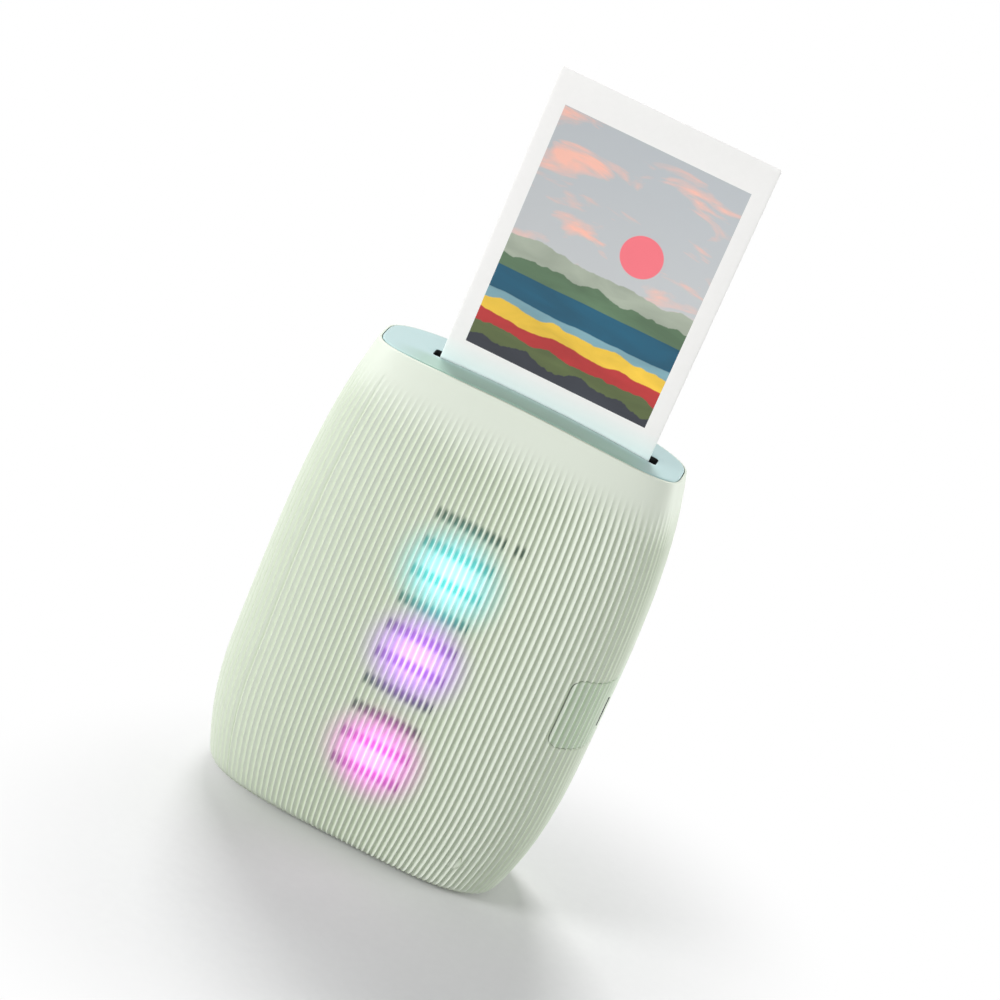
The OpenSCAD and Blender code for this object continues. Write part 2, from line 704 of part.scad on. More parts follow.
module switch_board() {
    color("#2c6b4a") union() {
        block([switch_x, slit_y - 3.6, button_low - 2.6], [switch_x + 0.8, button_back + 0.5, button_high + 2.6]);
        rod_x(frame_right, switch_x + 0.4, slit_y - 0.6, button_low + 0.9, 1.4);
        rod_x(frame_right, switch_x + 0.4, button_back - 2, button_high - 0.4, 1.4);
        block([switch_x, switch_y - 2.2, switch_z - 2.2], [switch_x + 1.6, switch_y + 2.2, switch_z + 2.2]);
        rod_x(switch_x, switch_x + 2.2, switch_y, switch_z, 1);
        block([switch_x, slit_y - 0.8, switch_z - 1.4], [switch_x + 1.5, slit_y + 0.8, switch_z + 1.4]);
    }
}

module chassis() {
    color("#3b4143") difference() {
        union() {
            for (x = [frame_left, frame_right - frame_t]) {
                block([x, frame_front, frame_low], [x + frame_t, frame_back, frame_neck]);
                block([x, frame_neck_front, frame_neck - 1], [x + frame_t, frame_neck_back, frame_top]);
            }
            block([frame_left, frame_front, frame_low], [frame_right, frame_front + frame_front_t, frame_neck - 2]);
            block([frame_left, frame_front, frame_low], [frame_right, frame_back, pack_z - slack]);
            for (s = [-1, 1]) hinge_ear(s);
            // motor shelf
            block([gear_left - 0.9 - motor_l, pinion_at[0] - 3.6, pinion_at[1] - motor_r - 1.6],
                  [frame_left + tiny, pinion_at[0] + 3.6, pinion_at[1] - motor_r - 0.1]);
            // button bearings
            for (z = [button_low - 2.6, button_high + 0.9])
                block([frame_right - frame_t, pivot[1] - 1.4, z], [pivot[0] + 1.4, frame_front + 1.5, z + 1.7]);
            // claw guides and spring stop
            for (z = [claw_guide_low, claw_guide_high]) rod_x(frame_right - 0.5, frame_right + 1.9, film_y, z, 0.9);
            block([frame_right - 0.5, film_y - 2, claw_stop_z], [frame_right + 2.6, film_y + 2, claw_stop_z + 1.4]);
        }
        for (x = [frame_left - 1, frame_right - frame_t - 1]) for (y = [drive_y, pinch_y])
            rod_x(x, x + frame_t + 2, y, roller_z, bush_r);
        rod_x(frame_left - 1, frame_left + frame_t + 1, idler_at[0], idler_at[1], idler_pin_r);
        // light path of the exposure head is above the front wall; window for the picture in front of the pack
        block([film_x - image_w / 2, frame_front - 1, sheet_rest_z + foot_border],
              [film_x + image_w / 2, frame_front + frame_front_t + 1, sheet_rest_z + foot_border + image_h]);
        for (s = [-1, 1]) rod_x(s * ear_x - 2.5, s * ear_x + 2.5, hinge_y, hinge_z, hinge_pin_r);
        rod_z(button_low - 4, button_high + 4, pivot[0], pivot[1], pivot_r + running);
        for (p = screw_spots) rod_z(frame_low - 1, frame_low + 1.25, p[0], p[1], screw_r);
        block([frame_right - frame_t - 1, film_y - 1, finger_z - slack],
              [frame_right + 0.5, film_y + 0.9, finger_z + finger_h + claw_travel + slack]);
    }
}
module hinge_ear(s) {
    translate([s * ear_x - ear_half, 0, 0]) rotate([90, 0, 90]) linear_extrude(2 * ear_half) {
        translate([hinge_y, hinge_z]) circle(r = hinge_reach);
        polygon([[frame_back - 3, frame_low], [frame_back, frame_low], [hinge_y - 0.4, hinge_z - 1.1],
                 [hinge_y, hinge_z + hinge_reach], [frame_back, pack_z - slack], [frame_back - 3, pack_z - slack]]);
    }
}

module roller_bushings() {
    color("#e9e4d6") for (x = [frame_left, frame_right - frame_t]) for (y = [drive_y, pinch_y])
        difference() {
            rod_x(x, x + frame_t, y, roller_z, bush_r);
            rod_x(x - 1, x + frame_t + 1, y, roller_z, shaft_r + running);
        }
}

module roller(y) {
    rod_x(sheet_left + 1, sheet_right - 1, y, roller_z, roller_r);
    rod_x(gear_left, frame_right + 0.4, y, roller_z, shaft_r);
}
module drive_roller() {
    color("#a7abad") roller(drive_y);
}
module pinch_roller() {
    color("#33383a") roller(pinch_y);
}
module drive_gear() {
    color("#ece7d8") difference() {
        gear([drive_y, roller_z], roller_teeth, drive_turn);
        rod_x(gear_left - 1, gear_right + 1, drive_y, roller_z, shaft_r);
    }
}
module pinch_gear() {
    color("#ece7d8") difference() {
        gear([pinch_y, roller_z], roller_teeth, pinch_turn);
        rod_x(gear_left - 1, gear_right + 1, pinch_y, roller_z, shaft_r);
    }
}
module idler_gear() {
    color("#ece7d8") difference() {
        gear(idler_at, idler_teeth, idler_turn);
        rod_x(gear_left - 1, gear_right + 1, idler_at[0], idler_at[1], idler_pin_r + running);
        for (a = [0:60:300]) rod_x(gear_left - 1, gear_right + 1, idler_at[0] + 2.7 * cos(a), idler_at[1] + 2.7 * sin(a), 0.8);
    }
}
module idler_pin() {
    color("#b9bcc0") rod_x(gear_left - 0.4, frame_left + frame_t, idler_at[0], idler_at[1], idler_pin_r);
}
module motor_pinion() {
    color("#c9a25a") difference() {
        gear(pinion_at, pinion_teeth, pinion_turn);
        rod_x(gear_left - 1, gear_right + 1, pinion_at[0], pinion_at[1], pinion_shaft_r + running);
    }
}
motor_l = gear_left - 0.9 + skin_x(pinion_at[0] + motor_r, pinion_at[1] + motor_r) - wall - motor_gap;
module gear_motor() {
    front = gear_left - 0.9;
    color("#b4b8ba") {
        rod_x(front - motor_l, front, pinion_at[0], pinion_at[1], motor_r);
        rod_x(front, front + 0.5, pinion_at[0], pinion_at[1], 1.3);
        rod_x(front - 0.8, gear_right - 0.1, pinion_at[0], pinion_at[1], pinion_shaft_r);
    }
}

head_low = frame_neck + 0.2;
head_high = roller_z - roller_r - 3.1;
module exposure_head() {
    color("#191c1e") difference() {
        block([frame_left + frame_t, frame_neck_front, head_low], [frame_right - frame_t, film_y - sheet_t / 2 - slack, head_high]);
        lens_space(0);
    }
}
module lens_space(grow) {
    middle = (head_low + head_high) / 2;
    block([film_x - image_w / 2 - grow, film_y - 4.2, middle - 0.9], [film_x + image_w / 2 + grow, film_y, middle + 0.9]);
}
module lens_array() {
    middle = (head_low + head_high) / 2;
    color("#27323a") block([film_x - image_w / 2, film_y - 4.2, middle - 0.9],
                           [film_x + image_w / 2, film_y - sheet_t / 2 - slack - 0.1, middle + 0.9]);
}

board_low = pack_z + 8.3;
board_high = pack_top - 9.2;
module main_board() {
    color("#2c6b4a") union() {
        block([pack_left, board_front, board_low], [pack_right, board_back, board_high]);
        board_chip(pack_left + 3, 44, 12, 12, 1.2);
        board_chip(pack_left + 5, 28, 8, 8, 0.9);
        board_chip(pack_right - 17, 50, 12, 10, 1.4);
        board_chip(pack_right - 15, 14, 8, 10, 1);
        board_chip(pack_left + 2, 4, 8, 4, 1.9);
        for (i = [0:5]) board_chip(pack_right - 21, 6 + 7 * i, 2, 2.5, 0.6);
    }
}
module board_chip(x, up, w, h, t) {
    block([x, board_front - t, board_low + up], [x + w, board_front, board_low + up + h]);
}
module led_board() {
    color("#e8ece6") union() {
        block([light_x - 6, led_y - led_board_t, light_low_z - 7], [light_x + 6, led_y, light_high_z + 6]);
        for (z = [light_low_z + 12, light_high_z - 10]) rod_y(led_y - 0.4, board_front, light_x, z, 1.2);
    }
}
module light_leds() {
    color("#f4f1ff") for (z = lights)
        block([light_x - 1.6, led_y - led_board_t - led_t, z - 1.6], [light_x + 1.6, led_y - led_board_t, z + 1.6]);
}
module light_diffuser() {
    color("#f2f5f0", 0.8) translate([0, diffuser_y, 0]) rotate([90, 0, 0]) linear_extrude(diffuser_t)
        rounded([light_x - 10, light_low_z - 8], [light_x + 10, light_high_z + 7], 3);
}

battery_right = frame_left - 0.4;
battery_low = 20;
battery_t = battery_right + skin_x(battery_d / 2, battery_low) - wall - battery_gap;
module battery() {
    color("#3f74a8") translate([battery_right - battery_t, 0, battery_low]) linear_extrude(battery_h)
        rounded([0, -battery_d / 2], [battery_t, battery_d / 2], 2.5);
}
usb_w = 8.9;
usb_h = 3.2;
usb_z = 12;
usb_depth = 7;
module usb_port() {
    mouth = -side_x(usb_z) + 0.6;
    color("#b9bcc0") {
        difference() {
            translate([mouth, 0, 0]) rotate([90, 0, 90]) linear_extrude(usb_depth)
                rounded([-usb_w / 2, usb_z - usb_h / 2], [usb_w / 2, usb_z + usb_h / 2], usb_h / 2 - tiny);
            translate([mouth - 1, 0, 0]) rotate([90, 0, 90]) linear_extrude(usb_depth - 0.5)
                rounded([-usb_w / 2 + 0.3, usb_z - usb_h / 2 + 0.3], [usb_w / 2 - 0.3, usb_z + usb_h / 2 - 0.3], usb_h / 2 - 0.3 - tiny);
        }
        block([mouth + 1, -3.3, usb_z - 0.35], [mouth + usb_depth, 3.3, usb_z + 0.35]);
        block([mouth + 2.8, -6, usb_z - usb_h / 2 - 0.8], [frame_left, 6, usb_z - usb_h / 2]);
    }
}

module film_pack() {
    color("#141617") difference() {
        block([pack_left, pack_front, pack_z], [pack_right, pack_back, pack_top]);
        block([sheet_left - slack, pack_front + pack_wall, sheet_rest_z], [sheet_right + slack, pack_back - pack_wall, pack_top - 1.3]);
        block([film_x - image_w / 2 - 0.5, pack_front - 1, sheet_rest_z + foot_border - 0.5],
              [film_x + image_w / 2 + 0.5, pack_front + 2, sheet_rest_z + foot_border + image_h + 0.5]);
        block([sheet_left - slack, pack_front + pack_wall, pack_top - 2], [sheet_right + slack, stack_front - tiny, pack_top + 1]);
        for (x = [film_x - 19, film_x + 7])
            block([x, pack_back - 3, pack_z + pack_h / 3], [x + 12, pack_back + 1, pack_z + 0.64 * pack_h]);
        block([sheet_right, film_y - 0.8, finger_z - slack], [pack_right + 1, film_y + 0.9, finger_z + finger_h + claw_travel + slack]);
    }
}
module film_stack() {
    color("#e9e7e2") block([sheet_left, stack_front, sheet_rest_z], [sheet_right, stack_back, sheet_rest_z + sheet_h]);
}
module pressure_plate() {
    color("#1c1f21") block([sheet_left + 2, stack_back, sheet_rest_z + 3], [sheet_right - 2, stack_back + plate_t, sheet_rest_z + sheet_h - 4]);
}
module pressure_springs() {
    low_y = stack_back + plate_t;
    high_y = pack_back - pack_wall;
    arch = high_y - low_y - 0.1;
    half = 24;
    arch_r = (half * half + arch * arch) / (2 * arch);
    color("#b9bcc0") for (x = [film_x - 17, film_x + 9])
        translate([x, 0, sheet_rest_z + sheet_h / 2 - 0.7]) rotate([90, 0, 90]) linear_extrude(8) difference() {
            intersection() {
                translate([high_y - 0.05 - arch_r, 0]) circle(r = arch_r, $fn = 96);
                translate([low_y + 0.05, -half]) square([arch, 2 * half]);
            }
            translate([high_y - 0.05 - arch_r - 0.35, 0]) circle(r = arch_r, $fn = 96);
        }
}

claw_left = frame_right + slack;
claw_t = 1.2;
claw_low = pack_z + 1.3;
claw_high = claw_low + 21;
claw_guide_low = claw_low + 9.5;
claw_guide_high = claw_low + 17;
claw_stop_z = claw_low + 31;
module pick_claw() {
    color("#d7d2c2") union() {
        difference() {
            block([claw_left, film_y - 1.9, claw_low], [claw_left + claw_t, film_y + 1.9, claw_high]);
            for (z = [claw_guide_low, claw_guide_high])
                translate([claw_left - 1, 0, 0]) rotate([90, 0, 90]) linear_extrude(4)
                    rounded([film_y - 0.9 - running, z - claw_travel - 0.9 - running], [film_y + 0.9 + running, z + 0.9 + running], 0.9 + running - tiny);
        }
        block([sheet_right - 0.6, film_y - 0.35, finger_z], [claw_left + 0.2, film_y + 0.35, finger_z + finger_h]);
    }
}
module claw_spring() {
    color("#b9bcc0") translate([claw_left + 0.9, film_y, claw_high]) coil(0.9, 0.18, 5, claw_stop_z - claw_high);
}

module photo_print() {
    color("#f4f2ef") block([sheet_left, film_y - sheet_t / 2, print_z], [sheet_right, film_y + sheet_t / 2, print_z + sheet_h]);
}

front_shell();
rear_shell();
top_cap();
exit_guide();
slot_seal();
base_cover();
base_foot();
case_screws();
film_door();
pack_window();
door_seal();
door_latch();
latch_spring();
hinge_pins();
power_button();
status_window();
switch_board();
chassis();
roller_bushings();
drive_roller();
drive_gear();
pinch_roller();
pinch_gear();
idler_gear();
idler_pin();
motor_pinion();
gear_motor();
exposure_head();
lens_array();
main_board();
led_board();
light_leds();
light_diffuser();
battery();
usb_port();
film_pack();
film_stack();
pressure_plate();
pressure_springs();
pick_claw();
claw_spring();
photo_print();
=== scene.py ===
"""Looks of the compact photo printer: fluted shells, cap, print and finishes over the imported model."""

import json
import math
from functools import partial, reduce
from itertools import product

import bmesh
import bpy
from bpy.props import FloatProperty, FloatVectorProperty, IntProperty, PointerProperty
from mathutils import Matrix, Vector


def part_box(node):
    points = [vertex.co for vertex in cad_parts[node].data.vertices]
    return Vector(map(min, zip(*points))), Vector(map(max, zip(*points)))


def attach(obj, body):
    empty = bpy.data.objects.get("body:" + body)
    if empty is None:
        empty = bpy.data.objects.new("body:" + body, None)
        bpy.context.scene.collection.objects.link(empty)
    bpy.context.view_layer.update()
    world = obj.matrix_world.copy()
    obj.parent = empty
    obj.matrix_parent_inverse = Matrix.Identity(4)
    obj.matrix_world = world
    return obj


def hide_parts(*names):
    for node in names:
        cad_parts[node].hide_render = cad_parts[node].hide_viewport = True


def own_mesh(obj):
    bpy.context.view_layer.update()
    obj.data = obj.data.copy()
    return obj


bl_info = {
    "name": "Compact Photo Printer",
    "version": (1, 0, 0),
    "blender": (4, 5, 0),
    "location": "View3D > Sidebar > Printer",
    "description": "Builds the fluted housing, the cap, the print and all finishes of a compact photo printer",
    "category": "Add Mesh",
}

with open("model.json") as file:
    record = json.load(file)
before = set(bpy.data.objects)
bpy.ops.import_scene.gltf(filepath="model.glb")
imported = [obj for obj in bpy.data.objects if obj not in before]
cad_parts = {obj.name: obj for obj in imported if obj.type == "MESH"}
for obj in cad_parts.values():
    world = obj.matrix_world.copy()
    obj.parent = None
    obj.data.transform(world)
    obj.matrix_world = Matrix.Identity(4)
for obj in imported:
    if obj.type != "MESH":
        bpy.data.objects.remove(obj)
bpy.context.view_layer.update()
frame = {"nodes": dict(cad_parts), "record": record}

MM = 0.001


def mm(*values):
    """Lengths in millimetres, as metres."""
    return tuple(value * MM for value in values)


def linear(code):
    """A colour written as six sRGB hex digits, as linear red, green and blue."""
    parts = [int(code[i : i + 2], 16) / 255 for i in (0, 2, 4)]
    return tuple(c / 12.92 if c <= 0.04045 else ((c + 0.055) / 1.055) ** 2.4 for c in parts)


def length(name, description, millimetres):
    """A length property, written in millimetres and kept in metres."""
    return FloatProperty(name=name, description=description, default=millimetres * MM, unit="LENGTH")


def paint(name, description, code):
    """A colour property, written as six sRGB hex digits."""
    return FloatVectorProperty(
        name=name, description=description, default=linear(code), subtype="COLOR", size=3, min=0, max=1
    )


class PrinterSizes(bpy.types.PropertyGroup):
    """Sizes of the housing; its outline and walls are the solids' own."""

    body_w: length("Width", "Width of the housing at the belly", 90.2)
    body_d: length("Depth", "Depth of the housing at the belly", 37.3)
    body_h: length("Height", "Height of the housing", 125.2)
    belly_z: length("Belly height", "Height of the fullest section", 38.4)
    top_w: length("Top width", "Width of the housing at its top edge", 77.9)
    front_lean: length("Front lean", "How far the front leans back to the top", 4.25)
    back_lean: length("Back lean", "How far the back leans forward to the top", 12.45)
    side_tuck: length("Side tuck", "How far each side draws in to the base", 6.3)
    front_tuck: length("Front tuck", "How far the front draws in to the base", 1.6)
    back_tuck: length("Back tuck", "How far the back draws in to the base", 0.4)
    crown: length("Crown", "Rise of the top edge from its ends to its middle", 1.75)
    squareness: FloatProperty(
        name="Squareness", description="Squareness of the section at the belly", default=3.5, min=2, max=6
    )
    wall: length("Wall", "Thickness of the housing wall", 2.0)
    rim_wall: length("Rim wall", "Thickness of the wall at the seam of the cap", 0.5)
    base_round: length("Base rounding", "Radius of the rounding at the base", 2.7)
    base_lift: length("Base lift", "Height of the lower edge", 0.3)
    seam: length("Seam", "Width of a visible seam", 0.25)
    rib_depth: length("Flute depth", "Depth of the flutes between the ribs", 0.45)
    fade_start: length("Fade start", "Distance below the top at which the flutes start to fade out", 20.0)
    fade_end: length("Fade end", "Distance below the top at which the flutes have faded out", 5.5)
    rib_count: IntProperty(name="Ribs", description="Number of ribs round the housing", default=138, min=40)


class PrinterColours(bpy.types.PropertyGroup):
    """Colours of the outer pieces and the lights."""

    shell: paint("Shell", "Pale sage plastic of the shells", "dde4d6")
    # painted shade: the shell's plastic drawn darker deep in the flutes
    shell_flute_shade: paint("Shell grooves", "The same plastic deep in the flutes", "c3cfb6")
    button: paint("Button", "Greener plastic of the side button", "dfe8da")
    # painted shade: the button's plastic drawn darker deep in the flutes
    button_flute_shade: paint("Button grooves", "The button's plastic deep in the flutes", "aec3a2")
    cap: paint("Cap", "Pale mint plastic of the cap", "b1cdcd")
    # painted shadow: the print's shadow on the cap's lip in front of the slot, tinted green
    cap_lip_shadow: paint("Cap lip", "The cap's greener lip in front of the slot", "93b6a2")
    paper: paint("Paper", "White border of the print", "f6f5f3")
    backing: paint("Backing", "Dark backing layer of the print", "3a3d40")
    light_high: paint("High light", "Glow of the highest light", "3cdcde")
    light_mid: paint("Middle light", "Glow of the middle light", "b845f5")
    light_low: paint("Low light", "Glow of the lowest light", "fa32e6")


# Ribs from the middle of the front to the seam between the shells
SEAM_RIB = 22.5
# Lights behind the front wall: x, z and reach of the glow, in mm
LIGHTS = ((0.1, 80.0, 18.0), (0.3, 57.0, 17.0), (0.4, 28.1, 17.0))
# Parts of the front wall with slits: middle in x and z, half width and half height, in mm
SLIT_FIELDS = ((-0.3, 58.5, 9.0, 38.2), (12.9, 93.9, 1.6, 3.0))
# Borders of the print beside, under and over its picture
SIDE_BORDER, FOOT_BORDER, HEAD_BORDER = mm(4, 16, 8)

# ---------- nodes and materials ----------

# settings that many nodes share
COLOURS = {"data_type": "RGBA"}
SMOOTH = {"interpolation_type": "SMOOTHSTEP"}
TIMES, PLUS, LESS = {"operation": "MULTIPLY"}, {"operation": "ADD"}, {"operation": "SUBTRACT"}
SCALE, POWER, LENGTH = {"operation": "SCALE"}, {"operation": "POWER"}, {"operation": "LENGTH"}
LARGEST, TIMES_PLUS = {"operation": "MAXIMUM"}, {"operation": "MULTIPLY_ADD"}


def add_node(tree, kind, settings=None, links=None):
    """Adds a node, sets its properties and input values, and links its inputs to sockets or nodes.

    A node in links passes on the first of its outputs that is in use.
    """
    new = tree.nodes.new("ShaderNode" + kind)
    for key, value in (settings or {}).items():
        if isinstance(key, str) and hasattr(new, key):
            setattr(new, key, value)
        else:
            new.inputs[key].default_value = value
    for key, source in (links or {}).items():
        if isinstance(source, bpy.types.Node):
            source = next(socket for socket in source.outputs if socket.enabled)
        tree.links.new(source, new.inputs[key])
    return new


def chain(node, kind, settings, sources):
    """Takes a list of sources together, two at a time."""
    return reduce(lambda one, two: node(kind, settings, {0: one, 1: two}), sources)


def node_material(name):
    """An empty node material, the call that adds its nodes and the object coordinates."""
    material = bpy.data.materials.new(name)
    material.use_nodes = True
    material.node_tree.nodes.clear()
    node = partial(add_node, material.node_tree)
    return material, node, node("TexCoord").outputs["Object"]


def rgba(colour, value=1.0):
    """A linear colour with full alpha, made lighter or darker by a factor."""
    return (colour[0] * value, colour[1] * value, colour[2] * value, 1.0)


def surface(node, colour, gloss, shine, relief, height, settings=None, links=None):
    """Ends a material in a principled surface with this colour.

    gloss is the roughness where shine is 0 and where it is 1; relief is the strength and the depth in
    millimetres of the height.
    """
    rough = node("MapRange", {"To Min": gloss[0], "To Max": gloss[1]}, {"Value": shine})
    bump = node("Bump", {"Strength": relief[0], "Distance": relief[1] * MM}, {"Height": height})
    links = {"Base Color": colour, "Roughness": rough, "Normal": bump, **(links or {})}
    node("OutputMaterial", links={"Surface": node("BsdfPrincipled", settings, links)})


def moulded(name, colour, roughness, grain, depth, mottle=0.06, metallic=0.0, stretch=(1, 1, 1)):
    """Moulded, drawn or ground finish: two tones of one colour, uneven gloss and a fine grain.

    grain is the size of the surface's grain and depth its height, both in millimetres.
    """
    material, node, place = node_material(name)
    spread = node("VectorMath", {**TIMES, 1: stretch}, {0: place})
    # clouds of 9 mm
    cloud = node("TexNoise", {"Scale": 1000 / 9, "Detail": 3.0, "Roughness": 0.6}, {"Vector": spread})
    fine = node("TexNoise", {"Scale": 1000 / grain, "Detail": 2.0}, {"Vector": spread})
    tone = node("Mix", {**COLOURS, 6: rgba(colour, 1 - mottle), 7: rgba(colour, 1 + mottle)}, {"Factor": cloud})
    gloss = max(0.03, roughness - 0.08), min(1.0, roughness + 0.08)
    surface(node, tone, gloss, fine, (0.6, depth), fine, {"Metallic": metallic})
    return material


def shell_plastic(name, tops, grooves, hues=()):
    """Satin ABS with a spark-eroded grain, and painted shade that draws the flutes darker than the whiter crests.

    hues are the colours of the lights behind the wall, where it has any.
    """
    material, node, place = node_material(name)
    cloud = node("TexNoise", {"Scale": 60.0, "Detail": 4.0, "Roughness": 0.55}, {"Vector": place})
    fine = node("TexNoise", {"Scale": 2600.0, "Detail": 2.0}, {"Vector": place})
    rib = node("Attribute", {"attribute_name": "rib"}).outputs["Fac"]
    patchy_shade = node("Math", {**TIMES_PLUS, 1: 0.10, 2: -0.05}, {0: cloud})
    lift = node("Math", {**PLUS, "use_clamp": True}, {0: rib, 1: patchy_shade})
    # painted shade: the flutes take the darker colour and the crests the lighter one, the share made patchy by clouds
    colour = node("Mix", {**COLOURS, 6: rgba(grooves), 7: rgba(tops)}, {"Factor": lift})
    settings, links = {}, {}
    if hues:
        colour, links["Emission Color"] = light_through(node, place, rib, colour, hues)
        settings["Emission Strength"] = 1.0
    surface(node, colour, (0.42, 0.54), fine, (0.5, 0.012), fine, settings, links)
    return material


def light_through(node, place, rib, colour, hues):
    """Colour and emission of a wall whose lights soak through it as soft round glows.

    Rows of short slits in the flutes let them out.
    """
    parts = node("SeparateXYZ", links={0: place})
    across, back, up = (parts.outputs[axis] for axis in "XYZ")
    flat = node("CombineXYZ", links={"X": across, "Z": up})
    front = node("Math", {"operation": "LESS_THAN", 1: 0.0}, {0: back})
    cores, rays = [], []
    for (x, z, reach), hue in zip(LIGHTS, hues):
        far = node("VectorMath", {"operation": "DISTANCE", 1: mm(x, 0, z)}, {0: flat})
        fall = {"interpolation_type": "SMOOTHERSTEP", "From Min": reach * MM, "From Max": 0.0}
        lit = node("Math", TIMES, {0: node("MapRange", fall, {"Value": far}), 1: front})
        # the wall takes on the light's tint, pale on the crests and full in the flutes
        soft = node("Math", {**POWER, 1: 0.95}, {0: lit})
        full, pale = [0.82 * h + 0.07 for h in hue], [0.36 * h + 0.6 for h in hue]
        tint = node("Mix", {**COLOURS, 6: rgba(full), 7: rgba(pale)}, {"Factor": rib})
        colour = node("Mix", COLOURS, {"Factor": soft, 6: colour, 7: tint})
        # the middle of each light shows almost white through the wall
        hot = node("Math", {**POWER, 1: 3.0}, {0: lit})
        cores.append(node("VectorMath", {**SCALE, 0: [0.12 * h + 0.44 for h in hue]}, {"Scale": hot}))
        # the slits show the light's own hue
        rays.append(node("VectorMath", {**SCALE, 0: tuple(hue)}, {"Scale": lit}))
    core, through = (chain(node, "VectorMath", PLUS, sources) for sources in (cores, rays))
    # rows of slits, 7.9 mm apart, each short and deep in its flute
    row = node("Math", {**PLUS, 1: 0.9 * MM}, {0: up})
    off = node("Math", {"operation": "PINGPONG", 1: 3.95 * MM}, {0: row})
    dash = node("MapRange", {**SMOOTH, "From Min": 2.4 * MM, "From Max": 0.5 * MM}, {"Value": off})
    deep = node("MapRange", {**SMOOTH, "From Min": 0.6, "From Max": 0.1}, {"Value": rib})
    fields = []
    for x, z, wide, high in SLIT_FIELDS:
        near = [
            node("Math", {"operation": "COMPARE", 1: middle * MM, 2: half * MM}, {0: source})
            for source, middle, half in ((across, x, wide), (up, z, high))
        ]
        fields.append(chain(node, "Math", TIMES, near))
    slit = chain(node, "Math", TIMES, [front, dash, deep, chain(node, "Math", LARGEST, fields)])
    colour = node("Mix", {**COLOURS, 7: rgba(linear("546a58"))}, {"Factor": slit, 6: colour})
    skin = node("VectorMath", {**TIMES_PLUS, 1: (0.22, 0.22, 0.22)}, {0: through, 2: core})
    return colour, node("Mix", COLOURS, {"Factor": slit, 6: skin, 7: through})


def cap_plastic(colours):
    """Frosted mint plastic, a little see-through, with a silky gloss and a painted sheen that pales it at a low
    angle, towards its edge.
    """
    material, node, place = node_material("cap_mint")
    cloud = node("TexNoise", {"Scale": 45.0, "Detail": 3.0}, {"Vector": place})
    fine = node("TexNoise", {"Scale": 3000.0, "Detail": 2.0}, {"Vector": place})
    tone = node("Mix", {**COLOURS, 6: rgba(colours.cap, 0.95), 7: rgba(colours.cap, 1.04)}, {"Factor": cloud})
    # painted shadow of the print on the thin lip in front of the slot, tinted green
    parts = node("SeparateXYZ", links={0: place})
    reach = {**SMOOTH, "From Min": -6 * MM, "From Max": -9 * MM, "To Max": 0.8}
    fore = node("MapRange", reach, {"Value": parts.outputs["Y"]})
    sides = node("Math", {"operation": "ABSOLUTE"}, {0: parts.outputs["X"]})
    middle = node("MapRange", {**SMOOTH, "From Min": 36 * MM, "From Max": 24 * MM}, {"Value": sides})
    lip = node("Math", TIMES, {0: fore, 1: middle})
    tone = node("Mix", {**COLOURS, 7: rgba(colours.cap_lip_shadow)}, {"Factor": lip, 6: tone})
    # painted sheen: at a low angle the colour turns paler
    edge = node("LayerWeight", {"Blend": 0.25})
    pale = node("Mix", {**COLOURS, 7: (0.86, 0.96, 0.95, 1)}, {"Factor": edge, 6: tone})
    inside = {"Subsurface Weight": 0.15, "Subsurface Radius": (0.8, 1.0, 1.0), "Subsurface Scale": 1 * MM}
    surface(node, pale, (0.3, 0.4), fine, (0.4, 0.01), fine, inside)
    return material


def landscape(node, u, v):
    """A made-up view in soft layered bands: pale sky with peach clouds, a low sun, hills, a lake and fields.

    u and v run from 0 to 1 over the picture.
    """
    sheet = node("CombineXYZ", links={"X": u, "Y": v})
    # sky, paler towards the horizon, with long soft clouds
    sky = node("Mix", {**COLOURS, 6: rgba(linear("cfd0d0")), 7: rgba(linear("bcc1c5"))}, {"Factor": v})
    drift = node("VectorMath", {**TIMES, 1: (1.6, 6.5, 1)}, {0: sheet})
    cloud = node("TexNoise", {"Scale": 1.5, "Detail": 4.0, "Roughness": 0.5, "Distortion": 0.6}, {"Vector": drift})
    veil = node("MapRange", {"From Min": 0.54, "From Max": 0.66}, {"Value": cloud})
    colour = node("Mix", {**COLOURS, 7: rgba(linear("fec3b1"))}, {"Factor": veil, 6: sky})
    # low sun, its radius in mm on the 46 x 62 mm picture
    away = node("VectorMath", {**LESS, 1: (0.64, 0.60, 0)}, {0: sheet})
    far = node("VectorMath", LENGTH, {0: node("VectorMath", {**TIMES, 1: (46.0, 62.0, 0)}, {0: away})})
    disc = node("MapRange", {"From Min": 5.2, "From Max": 5.0}, {"Value": far})
    colour = node("Mix", {**COLOURS, 7: rgba(linear("f97984"))}, {"Factor": disc, 6: colour})
    # bands of land and water from the far hills to the near bank: height, waves, their number, seed, colour
    bands = (
        (0.47, 0.10, 3.0, 0.35, "aab3a2"),
        (0.40, 0.08, 4.5, 1.2, "5d7a5c"),
        (0.34, 0.01, 1.5, 2.1, "0f5772"),
        (0.24, 0.03, 2.2, 3.4, "7fa9b4"),
        (0.21, 0.07, 3.5, 4.8, "f3c842"),
        (0.155, 0.06, 2.8, 5.7, "bb3131"),
        (0.10, 0.07, 4.2, 6.9, "5b683d"),
        (0.05, 0.09, 6.0, 8.3, "32363f"),
    )
    for level, wave, scale, seed, code in bands:
        waves = {"noise_dimensions": "1D", "Scale": scale, "Detail": 5.0, "Roughness": 0.45}
        ripple = node("TexNoise", waves, {"W": node("Math", {**PLUS, 1: seed}, {0: u})})
        line = node("Math", {**TIMES_PLUS, 1: wave, 2: level - wave / 2}, {0: ripple})
        mask = node("MapRange", {"From Max": 0.004}, {"Value": node("Math", LESS, {0: line, 1: v})})
        tones = {"From Min": 0.3, "From Max": 0.7, "To Min": 0.8, "To Max": 1.15}
        shade = node("MapRange", tones, {"Value": cloud})
        tint = node("VectorMath", {**SCALE, 0: linear(code)}, {"Scale": shade})
        colour = node("Mix", COLOURS, {"Factor": mask, 6: colour, 7: tint})
    return colour


